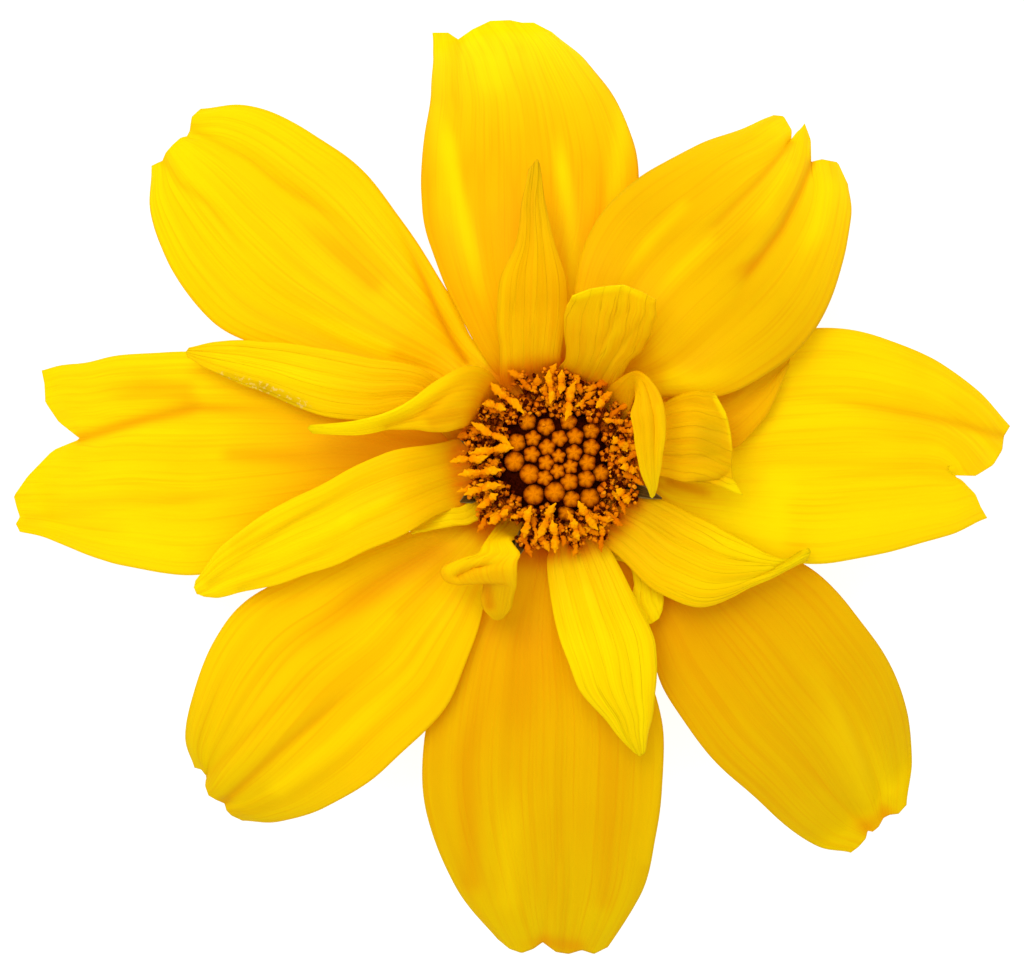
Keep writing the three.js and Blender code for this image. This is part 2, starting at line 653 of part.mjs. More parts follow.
/** The ring of open florets: two staggered rows, the outer one leaning out over the petals. */
function openFloretsGeometry() {
  const ring = new THREE.LatheGeometry([[RING_INNER, RING_BOTTOM], [RING_OUTER - 0.2, RING_BOTTOM],
    [RING_OUTER, RING_TOP - 0.3], [RING_OUTER - 0.2, RING_TOP], [RING_INNER, RING_TOP],
    [RING_INNER, RING_BOTTOM]].map(([radius, height]) => new THREE.Vector2(radius, height)), 20);
  ring.rotateX(Math.PI / 2);
  const rows = [
    { count: 15, radius: RING_INNER + 0.28, lean: 0.08, height: 1.05 },
    { count: 18, radius: RING_OUTER - 0.2, lean: 0.62, height: 0.95 },
  ];
  const florets = rows.flatMap((row) => Array.from({ length: row.count }, (_, step) => {
    const angle = RING_GAP.middle + RING_GAP.half + (step * (360 - 2 * RING_GAP.half)) / (row.count - 1);
    return floretParts(row.lean, row.height).map((piece) => piece
      .translate(row.radius, 0, RING_TOP - 0.35)
      .rotateZ(degToRad(angle)));
  })).flat();
  return fused([ring, ...florets]);
}

// The bloom
const bloom = new THREE.Group();

function place(name, geometry, material) {
  const mesh = new THREE.Mesh(geometry, material);
  mesh.name = name;
  bloom.add(mesh);
}

place('stem', stemGeometry(), finish(STEM_GREEN, 0.6));
place('outer_bracts', outerBractsGeometry(), finish(BRACT_GREEN, 0.7));
place('bract_cup', cupGeometry(), finish(BRACT_GREEN, 0.65));
place('disc_buds', budsGeometry(), finish(BUD_ORANGE, 0.55));
place('disc_open_florets', openFloretsGeometry(), finish(FLORET_ORANGE, 0.7));
for (const [name, ray] of Object.entries(rays)) {
  place(name, petalGeometry(ray), finish(RAY_YELLOW, 0.45));
}
for (const [name, petal] of Object.entries(innerPetals)) {
  place(name, petalGeometry(petal), finish(INNER_YELLOW, 0.45));
}

// The origin is the middle of the bloom's footprint, on the surface it rests on.
const footprint = new THREE.Box3().setFromObject(bloom);
const middle = footprint.getCenter(new THREE.Vector3());
bloom.position.set(-middle.x, -middle.y, -footprint.min.z);
bloom.updateMatrixWorld(true);

export default bloom;
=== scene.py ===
# %% [markdown]
# # A semi-double bidens bloom
#
# The object is one cut bloom that lies face up on a pale table: eight broad ray petals, a looser
# inner row of small petals, a disc of closed buds with a ring of open florets round it, and the
# green bracts and stub of stem below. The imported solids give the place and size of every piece.
# This file gives them their thin, veined, folded look.

import math
import random

import bmesh
import bpy
from mathutils import Matrix, Vector, noise


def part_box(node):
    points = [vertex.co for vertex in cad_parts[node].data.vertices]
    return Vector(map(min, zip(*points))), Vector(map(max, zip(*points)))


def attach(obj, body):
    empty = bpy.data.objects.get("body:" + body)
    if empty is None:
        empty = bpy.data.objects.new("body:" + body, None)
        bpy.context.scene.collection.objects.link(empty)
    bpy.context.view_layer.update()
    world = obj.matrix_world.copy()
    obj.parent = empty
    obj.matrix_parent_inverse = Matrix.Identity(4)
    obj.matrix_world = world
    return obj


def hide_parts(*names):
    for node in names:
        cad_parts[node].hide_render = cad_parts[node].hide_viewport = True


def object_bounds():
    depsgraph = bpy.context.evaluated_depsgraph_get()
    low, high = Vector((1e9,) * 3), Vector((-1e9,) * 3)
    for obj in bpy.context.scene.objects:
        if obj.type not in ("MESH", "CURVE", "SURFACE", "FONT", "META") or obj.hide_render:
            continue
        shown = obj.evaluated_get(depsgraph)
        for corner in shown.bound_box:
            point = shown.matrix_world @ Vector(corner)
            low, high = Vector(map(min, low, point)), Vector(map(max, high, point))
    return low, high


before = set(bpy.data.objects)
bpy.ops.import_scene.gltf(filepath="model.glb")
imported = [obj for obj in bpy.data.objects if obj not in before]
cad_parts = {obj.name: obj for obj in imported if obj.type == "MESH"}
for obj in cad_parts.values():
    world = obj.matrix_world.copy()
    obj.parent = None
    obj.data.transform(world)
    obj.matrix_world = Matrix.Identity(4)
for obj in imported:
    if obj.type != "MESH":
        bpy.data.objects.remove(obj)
cad_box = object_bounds()
MM = 0.001  # a millimetre in Blender's metres
cad_size = [round((high - low) / MM, 2) for low, high in zip(*cad_box)]
print("solids", len(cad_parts), "size in mm", cad_size)

# %% [markdown]
# A flower is easiest to draw from its own middle, in millimetres, with heights above the table.
# Every piece is made that way, and one matrix then puts it on the axis of the stem solid. Working
# in metres from the start would do too, but then every petal number is hard to read.

# %% The flower's own frame
stem_low, stem_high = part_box("stem")
FLOWER_AXIS = Vector(((stem_low.x + stem_high.x) / 2, (stem_low.y + stem_high.y) / 2, 0))
TO_ROW = Matrix.Translation(FLOWER_AXIS) @ Matrix.Scale(MM, 4)
print("flower axis in mm", [round(value / MM, 3) for value in FLOWER_AXIS])


def clamp(value, low=0.0, high=1.0):
    return max(low, min(high, value))


def ease(value, start, end):
    """0 before start, 1 after end, and a smooth step between them."""
    share = clamp((value - start) / (end - start))
    return share * share * (3 - 2 * share)


def finish_piece(bm, name, material, slot, *nodes):
    """Turns a bmesh drawn in the flower's millimetres into a piece that stands for these solids."""
    bmesh.ops.transform(bm, matrix=TO_ROW, verts=bm.verts)
    mesh = bpy.data.meshes.new(name)
    bm.to_mesh(mesh)
    bm.free()
    mesh.shade_smooth()
    mesh.materials.append(material)
    piece = bpy.data.objects.new(name, mesh)
    bpy.context.scene.collection.objects.link(piece)
    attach(piece, "root")
    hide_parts(*nodes)
    return piece


# %% [markdown]
# Colours are given in the 0 to 255 steps of a screen, but Blender's sockets hold light
# amounts. This small sum turns one into the other, so that a petal's lemon in the script is the
# lemon on the screen.

# %% Colours and small node helpers


def paint(red, green, blue):
    """A socket colour from screen steps."""
    shares = [value / 255 for value in (red, green, blue)]
    return [s / 12.92 if s <= 0.04045 else ((s + 0.055) / 1.055) ** 2.4 for s in shares] + [1.0]


class Recipe:
    """A material's node tree, built line by line: add() makes a node, join() links two sockets."""

    def __init__(self, name):
        self.material = bpy.data.materials.new(name)
        self.material.use_nodes = True
        self.tree = self.material.node_tree
        self.tree.nodes.clear()

    def add(self, kind, **settings):
        node = self.tree.nodes.new(kind)
        for key, value in settings.items():
            setattr(node, key, value)
        return node

    def join(self, source, target):
        self.tree.links.new(source, target)

    def sum(self, operation, first, second=None, third=None):
        """A maths node. Each value is a socket or a number."""
        node = self.add("ShaderNodeMath", operation=operation)
        for socket, value in zip(node.inputs, (first, second, third)):
            if value is not None:
                self.feed(socket, value)
        return node.outputs[0]

    def feed(self, socket, value):
        if isinstance(value, bpy.types.NodeSocket):
            self.join(value, socket)
        else:
            socket.default_value = value

    def spread(self, value, low, high, to_low=0.0, to_high=1.0):
        """value from low to high becomes to_low to to_high, with soft ends."""
        node = self.add("ShaderNodeMapRange", interpolation_type="SMOOTHSTEP")
        for socket, amount in zip(node.inputs, (value, low, high, to_low, to_high)):
            self.feed(socket, amount)
        return node.outputs[0]

    def ramp(self, value, stops):
        """A colour ramp of (place, colour) stops."""
        node = self.add("ShaderNodeValToRGB")
        elements = node.color_ramp.elements
        for place, _ in stops[2:]:
            elements.new(place)
        for element, (place, colour) in zip(elements, stops):
            element.position = place
            element.color = colour
        self.join(value, node.inputs[0])
        return node.outputs[0]

    def blend(self, amount, first, second, way="MIX"):
        """Two colours mixed by an amount."""
        node = self.add("ShaderNodeMix", data_type="RGBA", blend_type=way)
        self.feed(node.inputs[0], amount)
        self.feed(node.inputs[6], first)
        self.feed(node.inputs[7], second)
        return node.outputs[2]

    def grain(self, place, size, detail=3.0, roughness=0.55):
        """A noise pattern of about this size on these coordinates."""
        node = self.add("ShaderNodeTexNoise")
        node.inputs["Scale"].default_value = 1.0
        node.inputs["Detail"].default_value = detail
        node.inputs["Roughness"].default_value = roughness
        stretch = self.add("ShaderNodeMapping")
        stretch.inputs["Scale"].default_value = [1 / value for value in size]
        self.join(place, stretch.inputs["Vector"])
        self.join(stretch.outputs[0], node.inputs["Vector"])
        return node.outputs["Fac"]

    def place(self):
        """Where a point of the piece is, in metres."""
        return self.add("ShaderNodeTexCoord").outputs["Object"]

    def grit(self, size, detail):
        """A noise pattern of one size every way, in metres."""
        return self.grain(self.place(), (size, size, size), detail)

    def parts(self, vector):
        """The first two numbers of a vector."""
        split = self.add("ShaderNodeSeparateXYZ")
        self.join(vector, split.inputs[0])
        return split.outputs[0], split.outputs[1]

    def own_map(self, name):
        """A piece's own map, whole and as its two numbers."""
        whole = self.add("ShaderNodeUVMap", uv_map=name).outputs[0]
        return whole, *self.parts(whole)

    def surface(self, colour, roughness, relief=None, depth=0.0, through=0.0, glow=None,
                shine=0.25):
        """The skin itself: a soft gloss, its relief in metres, and the light that comes through."""
        skin = self.add("ShaderNodeBsdfPrincipled")
        self.feed(skin.inputs["Base Color"], colour)
        self.feed(skin.inputs["Roughness"], roughness)
        skin.inputs["Specular IOR Level"].default_value = shine
        if relief is not None:
            bump = self.add("ShaderNodeBump")
            bump.inputs["Distance"].default_value = depth
            bump.inputs["Strength"].default_value = 1.0
            self.join(relief, bump.inputs["Height"])
            self.join(bump.outputs[0], skin.inputs["Normal"])
        output = self.add("ShaderNodeOutputMaterial")
        if not through:
            self.join(skin.outputs[0], output.inputs[0])
            return self.material
        behind = self.add("ShaderNodeBsdfTranslucent")
        self.feed(behind.inputs["Color"], glow if glow is not None else colour)
        both = self.add("ShaderNodeMixShader")
        both.inputs[0].default_value = through
        self.join(skin.outputs[0], both.inputs[1])
        self.join(behind.outputs[0], both.inputs[2])
        self.join(both.outputs[0], output.inputs[0])
        return self.material


print("lemon as light", [round(value, 3) for value in paint(255, 235, 0)])

# %% [markdown]
# The camera looks straight down, as the photo does. The bloom is only 50 mm wide, so a very long
# lens two metres up gives the photo's flat view, in which high petals hardly grow. The view's
# middle is a little to one side of the bloom's own middle.

# %% Camera
VIEW_WIDTH = 51.2  # the width of the picture, in millimetres at the petals' height
VIEW_MIDDLE = (-1.9, -1.275)
CAMERA_HEIGHT = 2000.0
PETAL_HEIGHT = 7.0
CLIP_METRES = (0.05, 10.0)

camera_data = bpy.data.cameras.new("camera_above")
camera_data.lens = camera_data.sensor_width * (CAMERA_HEIGHT - PETAL_HEIGHT) / VIEW_WIDTH
camera_data.clip_start, camera_data.clip_end = CLIP_METRES
camera = bpy.data.objects.new("camera_above", camera_data)
camera.location = FLOWER_AXIS + Vector((VIEW_MIDDLE[0], VIEW_MIDDLE[1], CAMERA_HEIGHT)) * MM
bpy.context.scene.collection.objects.link(camera)
bpy.context.scene.camera = camera
print("lens", round(camera_data.lens))

# %% [markdown]
# The photo has a white ground with no cast shadow to speak of, a broad soft light from the top
# left, and enough light from all round that even the undersides of overlaps glow. A wide lamp, a
# bright plain sky and a floor that glows give that. One hard lamp would draw black edges under
# petals.

# %% Floor and light
FLOOR_SIZE = 1.2  # in metres, as all the sizes in this cell are
FLOOR_GREY = 140
FLOOR_GLOW = 0.9  # it lightens the shadows on the page, as a light table does
SKY_STRENGTH = 0.9
WINDOW_PLACE = (-0.14, 0.26, 0.54)
WINDOW_WIDTH = 0.4
WINDOW_POWER = 2.1

bm = bmesh.new()
bmesh.ops.create_grid(bm, x_segments=1, y_segments=1, size=FLOOR_SIZE / 2)
floor_mesh = bpy.data.meshes.new("pale_floor")
bm.to_mesh(floor_mesh)
bm.free()
floor = bpy.data.objects.new("pale_floor", floor_mesh)
bpy.context.scene.collection.objects.link(floor)
floor_paint = Recipe("pale_floor")
floor_grey = paint(FLOOR_GREY, FLOOR_GREY, FLOOR_GREY)
floor_mesh.materials.append(floor_paint.surface(floor_grey, 0.9, shine=0.0))
page = floor_mesh.materials[0].node_tree.nodes["Principled BSDF"]
page.inputs["Emission Color"].default_value = paint(255, 255, 255)
page.inputs["Emission Strength"].default_value = FLOOR_GLOW

sky = bpy.data.worlds.new("soft_sky")
sky.use_nodes = True
sky.node_tree.nodes["Background"].inputs[0].default_value = (1.0, 1.0, 1.0, 1.0)
sky.node_tree.nodes["Background"].inputs[1].default_value = SKY_STRENGTH
bpy.context.scene.world = sky


def soft_lamp(name, place, width, power):
    """A square lamp that faces the bloom."""
    data = bpy.data.lights.new(name, "AREA")
    data.size = width
    data.energy = power
    lamp = bpy.data.objects.new(name, data)
    lamp.location = FLOWER_AXIS + Vector(place)
    lamp.rotation_euler = (-Vector(place)).to_track_quat("-Z", "Y").to_euler()
    bpy.context.scene.collection.objects.link(lamp)


soft_lamp("window_light", WINDOW_PLACE, WINDOW_WIDTH, WINDOW_POWER)
bpy.context.scene.view_settings.view_transform = "Standard"
print("floor", FLOOR_SIZE, "m wide")

# %% [markdown]
# A petal is a strip between two margins. Each margin is a smooth curve through a few ribs, laid
# across the petal from its narrow claw to its tip, and the tip has its own small outline with the
# teeth and the notch. Its height arches over the cup's rim and then droops to the table. Sculpting
# each petal by hand would be freer, but ribs keep it on the solid that the part was made with.

# %% The petals' ribs
# Plan places in millimetres. A rib is (left x, left y, right x, right y), left being the margin
# that lies anticlockwise, seen from above, and two more numbers are the heights of its ends.
# A tip runs from the left margin to the right one. claw is the direction of a petal's claw in
# degrees, claw_half and shoulder are the claw's half widths, and level counts the layers from the
# lowest up. reach and tip_height are where the tip comes down, and bend is how late it droops.
LEVEL = 1.0  # from one layer to the next
OUTER_SEAT = 7.2  # the height where the outer row's claws are fixed
INNER_SEAT = 8.1
OUTER_CLAW_START = 3.5  # how far from the flower's axis they start
INNER_CLAW_START = 3.0
CLAW_LENGTH = 1.1
LIFT_START = 4.4  # between these two distances a petal rises to its own layer
LIFT_END = 8.0
CREST_RADIUS = 9.5  # the place and height of the top of a petal's arch
CREST = 7.7
FULL_RELIEF_WIDTH = 3.0  # a petal narrower than this has shallower pleats

RAYS = {
    "ray_north": dict(
        claw=100, level=0.95, tip_height=-0.6, reach=22.0, bend=2.1, grooves=(0.25, 0.66),
        ribs=[
            (-3.9, 6.1, 1.9, 6.0),
            (-5.35, 9.0, 3.1, 9.0),
            (-6.3, 12.0, 4.2, 12.0),
            (-6.4, 15.0, 4.4, 15.0),
            (-6.0, 18.0, 3.2, 18.1),
            (-5.85, 20.0, 1.8, 20.0),
            (-5.9, 21.45, 0.1, 21.45),
        ],
        tip=[
            (-5.9, 21.45), (-5.1, 21.45), (-4.6, 21.1), (-3.9, 21.6), (-3.0, 22.04), (-2.0, 22.08),
            (-1.4, 21.95), (-0.8, 21.95), (0.1, 21.45),
        ],
    ),
    "ray_northeast": dict(
        claw=50, level=3.15, tip_height=3.2, reach=20.5, grooves=(0.3, 0.7),
        ribs=[
            (1.5, 6.0, 5.3, 3.15),
            (1.25, 8.8, 8.3, 3.15),
            (2.3, 12.0, 11.0, 4.4),
            (4.6, 14.15, 13.2, 6.4),
            (7.4, 15.75, 14.5, 9.5),
            (9.8, 16.65, 15.05, 12.0),
            (11.2, 17.25, 14.9, 13.8),
        ],
        tip=[
            (11.2, 17.25), (11.7, 17.2), (12.1, 16.5), (12.05, 15.9), (12.35, 16.35),
            (12.75, 16.85), (13.05, 16.0), (13.05, 14.9), (13.6, 15.05), (14.4, 14.9), (14.9, 13.8),
        ],
    ),
    "ray_east": dict(
        claw=3, level=0.95, tip_height=1.2, reach=23.2, grooves=(0.3, 0.6),
        ribs=[
            (6.6, 2.4, 6.2, -3.2),
            (9.6, 5.4, 9.6, -4.5),
            (12.8, 6.6, 12.8, -5.2),
            (16.0, 6.25, 16.0, -4.8),
            (19.0, 5.15, 19.0, -4.05),
            (21.4, 3.5, 20.8, -3.4),
            (23.05, 1.7, 21.9, -2.9),
        ],
        tip=[
            (23.05, 1.7), (22.75, 1.2), (22.65, 0.5), (22.2, -0.25), (21.3, -0.8), (20.2, -0.75),
            (20.7, -1.1), (21.3, -1.7), (21.55, -2.3), (21.9, -2.9),
        ],
    ),
    "ray_southeast": dict(
        claw=-42, level=0, tip_height=-0.6, reach=24.3, bend=1.7, grooves=(0.33, 0.66),
        ribs=[
            (6.4, -2.9, 3.0, -5.7),
            (9.9, -3.9, 4.7, -8.6),
            (13.2, -5.6, 5.75, -11.5),
            (15.8, -8.3, 7.9, -14.65),
            (17.6, -11.6, 10.6, -17.25),
            (18.15, -14.8, 13.2, -19.25),
            (17.9, -17.3, 15.1, -19.7),
        ],
        tip=[
            (17.9, -17.3), (17.5, -17.75), (17.05, -17.8), (16.75, -17.95), (16.5, -18.4),
            (16.2, -18.65), (15.95, -18.6), (15.85, -19.0), (15.5, -19.4), (15.1, -19.7),
        ],
    ),
    "ray_south": dict(
        claw=-92, level=0, tip_height=0.7, reach=24.8, grooves=(0.36, 0.62),
        ribs=[
            (2.5, -6.4, -3.1, -6.5),
            (4.05, -9.2, -4.9, -9.3),
            (5.45, -12.1, -6.0, -12.4),
            (5.65, -15.2, -6.4, -15.8),
            (5.35, -18.4, -5.9, -18.6),
            (4.6, -21.6, -4.65, -21.5),
            (2.9, -24.4, -2.6, -24.0),
        ],
        tip=[
            (2.9, -24.4), (2.2, -24.75), (1.6, -24.55), (0.95, -24.75), (0.3, -24.65),
            (-0.35, -24.15), (-0.85, -24.5), (-1.4, -24.7), (-2.0, -24.5), (-2.6, -24.0),
        ],
    ),
    "ray_southwest": dict(
        claw=-136, level=0.95, tip_height=1.9, reach=23.2, grooves=(0.33, 0.72),
        ribs=[
            (-2.95, -6.0, -6.0, -3.2),
            (-3.75, -8.9, -9.4, -4.3),
            (-5.2, -12.2, -12.9, -5.7),
            (-7.7, -15.0, -15.9, -7.7),
            (-10.6, -17.05, -17.6, -11.0),
            (-13.3, -18.05, -18.25, -13.8),
            (-15.4, -18.05, -17.8, -15.4),
        ],
        tip=[
            (-15.4, -18.05), (-15.95, -17.8), (-16.2, -17.55), (-16.3, -17.2), (-16.75, -17.0),
            (-17.1, -16.8), (-17.25, -16.35), (-17.2, -15.85), (-17.45, -15.5), (-17.8, -15.4),
        ],
    ),
    "ray_west": dict(
        claw=181, level=0.95, crown=0.25, tip_height=-0.6, reach=26.2, bend=1.7,
        grooves=(0.18, 0.64), tip_start=0.68,
        ribs=[
            (-7.0, -2.2, -7.0, 2.3),
            (-10.8, -3.9, -10.8, 4.4),
            (-14.6, -5.2, -14.6, 5.2),
            (-18.2, -5.7, -18.2, 5.4),
            (-21.4, -5.3, -21.4, 5.25),
            (-24.2, -4.3, -23.8, 4.85),
            (-26.6, -3.6, -25.5, 4.5),
        ],
        tip=[
            (-26.6, -3.6), (-26.8, -3.2), (-26.6, -2.85), (-26.75, -2.4), (-26.9, -1.8),
            (-26.2, -0.8), (-24.9, 0.5), (-23.5, 1.05), (-24.6, 1.9), (-25.3, 2.9), (-25.35, 3.8),
            (-25.5, 4.5),
        ],
    ),
    "ray_northwest": dict(
        claw=138, level=0, tip_height=1.4, reach=24.5, grooves=(0.2, 0.7), bend=1.4,
        ribs=[
            (-6.0, 3.8, -3.8, 5.9),
            (-9.9, 4.5, -5.2, 8.6),
            (-13.6, 5.4, -6.9, 11.2),
            (-16.7, 6.8, -9.2, 14.3),
            (-18.9, 9.5, -12.0, 16.45),
            (-20.0, 12.5, -15.2, 17.75),
            (-19.95, 14.75, -17.5, 17.6),
        ],
        tip=[
            (-19.95, 14.75), (-19.65, 14.9), (-19.4, 15.0), (-19.25, 15.4), (-18.9, 15.8),
            (-18.5, 16.15), (-18.2, 16.2), (-18.05, 16.5), (-17.95, 17.2), (-17.5, 17.6),
        ],
    ),
}

INNER_PETALS = {
    "petal_north": dict(
        claw=103, shoulder=1.5,
        ribs=[
            (-2.5, 5.4, 0.55, 5.4, 9.4, 9.4),
            (-2.65, 7.2, 0.85, 7.1, 10.8, 10.8),
            (-2.5, 9.0, 0.8, 9.0, 11.7, 11.7),
            (-1.7, 10.9, 0.2, 10.9, 12.1, 12.1),
            (-1.4, 12.9, -0.25, 12.9, 11.9, 11.9),
            (-1.05, 14.5, -0.55, 14.75, 11.4, 11.4),
        ],
        tip=[(-1.05, 14.5), (-0.65, 15.0), (-0.55, 14.75)],
    ),
    "petal_north_northeast": dict(
        claw=66, claw_half=0.6, shoulder=1.5, tip_start=0.6,
        ribs=[
            (0.78, 5.1, 3.85, 4.75, 10.2, 10.6),
            (0.72, 6.4, 4.8, 5.8, 12.2, 12.1),
            (0.75, 7.4, 5.2, 7.0, 13.8, 13.6),
            (1.1, 8.15, 5.3, 7.95, 14.9, 14.6),
        ],
        tip=[(1.1, 8.15), (2.0, 8.5), (2.9, 8.65), (3.7, 8.7), (4.6, 8.35), (5.3, 7.95)],
    ),
    "petal_east_northeast": dict(
        claw=40, claw_half=0.42, shoulder=0.9, blush=0.35, crown=0.15, tip_start=0.9,
        ribs=[
            (3.95, 4.35, 4.25, 3.45, 10.7, 10.7),
            (4.75, 4.25, 4.3, 3.25, 12.6, 12.8),
            (5.55, 3.1, 4.05, 2.3, 13.3, 13.4),
            (5.75, 1.6, 4.15, 1.35, 13.2, 13.3),
            (5.6, 0.2, 4.35, 0.0, 12.8, 12.9),
            (5.4, -0.9, 4.7, -1.1, 12.3, 12.4),
            (5.2, -1.75, 5.0, -1.8, 11.9, 11.9),
        ],
        tip=[(5.2, -1.75), (5.08, -1.88), (5.0, -1.8)],
    ),
    "petal_east": dict(
        claw=10, claw_half=0.6, shoulder=1.4, tip_start=0.6,
        ribs=[
            (5.3, 2.6, 5.3, -0.75, 9.7, 9.7),
            (6.5, 3.25, 6.6, -1.05, 11.3, 11.2),
            (7.5, 3.45, 7.9, -1.15, 12.2, 11.8),
            (8.2, 3.35, 9.6, -1.75, 12.6, 11.7),
        ],
        tip=[
            (8.2, 3.35), (8.75, 2.4), (9.0, 1.4), (9.1, 0.5), (9.05, -0.2), (9.1, -0.9),
            (9.6, -1.75),
        ],
    ),
    "petal_east_lower": dict(
        row="outer", claw=26.5, claw_half=0.4, shoulder=0.8, level=1.9, tip_height=8.4, reach=13.5,
        crown=0,
        ribs=[
            (6.1, 3.5, 6.6, 2.6),
            (8.2, 5.5, 8.9, 0.6),
            (10.2, 6.5, 10.7, 2.1),
            (11.5, 6.2, 11.9, 4.6),
        ],
        tip=[(11.5, 6.2), (11.9, 5.6), (12.0, 5.1), (11.9, 4.6)],
    ),
    "petal_southeast": dict(
        claw=-40, claw_half=0.6, shoulder=1.5, level=1.95, tip_height=8.0, reach=13.7,
        ribs=[
            (5.3, -1.85, 3.4, -4.8),
            (7.0, -2.65, 5.4, -6.6),
            (8.8, -3.6, 7.6, -7.35),
            (10.6, -4.55, 10.0, -6.4),
            (11.7, -4.95, 11.5, -5.65),
            (12.7, -4.5, 12.85, -5.0),
        ],
        tip=[(12.7, -4.5), (12.93, -4.42), (13.0, -4.6), (12.85, -5.0)],
    ),
    "petal_southeast_lower": dict(
        row="outer", claw=-66, claw_half=0.4, shoulder=0.8, level=1.1, tip_height=8.6, reach=10.0,
        ribs=[
            (4.3, -4.8, 3.7, -5.1),
            (5.2, -5.7, 4.2, -6.1),
            (5.65, -6.6, 4.05, -7.3),
            (5.6, -7.5, 4.7, -8.25),
        ],
        tip=[(5.6, -7.5), (5.45, -7.9), (5.1, -8.15), (4.7, -8.25)],
    ),
    "petal_south": dict(
        claw=-73, claw_half=0.6, shoulder=1.25, level=2.1, tip_height=7.4, reach=15.5,
        ribs=[
            (3.3, -5.0, -0.15, -5.3),
            (4.4, -7.2, 0.1, -7.3),
            (5.25, -9.1, 0.6, -9.3),
            (5.3, -11.0, 1.5, -11.4),
            (5.05, -12.9, 2.9, -13.2),
            (4.75, -14.6, 4.2, -14.6),
        ],
        tip=[(4.75, -14.6), (4.5, -14.8), (4.2, -14.6)],
    ),
    "petal_south_southwest": dict(
        claw=-121, claw_half=0.42, shoulder=0.6, blush=0.0, crown=0.2, fold=0.0, tip_start=0.9,
        ribs=[
            (-1.95, -4.0, -3.3, -4.2, 9.9, 9.9),
            (-1.5, -4.65, -3.7, -4.75, 10.6, 10.6),
            (-1.6, -5.0, -4.75, -5.05, 10.9, 10.7),
            (-1.65, -5.4, -5.45, -5.55, 11.0, 10.7),
            (-1.65, -5.9, -4.95, -6.15, 10.8, 10.6),
            (-1.7, -6.4, -3.45, -5.95, 10.5, 10.4),
            (-1.9, -7.3, -3.45, -7.2, 10.1, 10.0),
            (-2.35, -7.9, -2.85, -7.95, 9.8, 9.8),
        ],
        tip=[(-2.35, -7.9), (-2.6, -8.0), (-2.85, -7.95)],
    ),
    "petal_west_southwest": dict(
        claw=-172, claw_half=0.55, shoulder=1.6, level=2.9, crown=0.1, tip_height=6.0, reach=19.0,
        ribs=[
            (-5.4, -2.65, -5.7, 0.8),
            (-7.8, -3.95, -8.2, 0.35),
            (-10.6, -5.2, -11.1, -1.05),
            (-13.4, -6.1, -13.9, -2.5),
            (-15.8, -6.75, -16.3, -4.2),
            (-17.2, -6.85, -17.7, -6.0),
        ],
        tip=[(-17.2, -6.85), (-17.65, -6.7), (-17.8, -6.35), (-17.7, -6.0)],
    ),
    "petal_west_southwest_lower": dict(
        claw=-147, claw_half=0.36, shoulder=0.6, crown=0, nerves=3,
        ribs=[
            (-4.1, -3.2, -4.4, -2.3, 8.45, 8.4),
            (-5.7, -3.45, -5.9, -2.55, 9.1, 8.6),
            (-6.9, -3.7, -7.1, -3.2, 9.3, 8.9),
        ],
        tip=[(-6.9, -3.7), (-7.05, -3.45), (-7.1, -3.2)],
    ),
    "petal_west": dict(
        claw=140, claw_half=0.5, shoulder=1.2, blush=0.6, crown=0.1, fold=0.0, tip_start=0.9,
        ribs=[
            (-4.45, 1.6, -3.35, 4.6, 9.8, 10.6),
            (-5.4, 1.4, -4.6, 4.55, 10.5, 12.0),
            (-6.6, 1.5, -6.2, 3.6, 10.9, 12.2),
            (-8.0, 1.5, -7.6, 2.6, 11.2, 12.0),
            (-9.75, 1.25, -9.5, 2.0, 11.4, 11.7),
            (-11.85, 1.35, -11.95, 1.75, 11.1, 11.3),
        ],
        tip=[(-11.85, 1.35), (-12.1, 1.6), (-11.95, 1.75)],
    ),
    "petal_west_northwest": dict(
        row="outer", claw=160, claw_half=0.36, shoulder=1.0, level=1.95, tip_height=6.8, reach=19.0,
        bend=1.7,
        ribs=[
            (-6.6, 2.4, -6.3, 4.5),
            (-9.2, 2.0, -8.9, 5.05),
            (-11.7, 2.3, -11.3, 5.55),
            (-14.0, 3.25, -13.8, 5.9),
            (-16.2, 4.1, -16.2, 5.95),
            (-18.1, 5.15, -18.05, 5.6),
        ],
        tip=[(-18.1, 5.15), (-18.2, 5.4), (-18.05, 5.6)],
    ),
}
# What a petal's own lines don't say is the habit of its row.
RAY_HABIT = dict(
    row="outer", claw_half=0.72, shoulder=1.85, crown=0.35, fold=0.16, tip_start=0.74, bend=1.6,
)
INNER_HABIT = dict(
    row="inner", claw_half=0.5, shoulder=1.0, crown=0.3, fold=0.1, tip_start=0.8, bend=1.5,
    grooves=(0.33, 0.67),
)
print("rays", len(RAYS), "inner petals", len(INNER_PETALS))
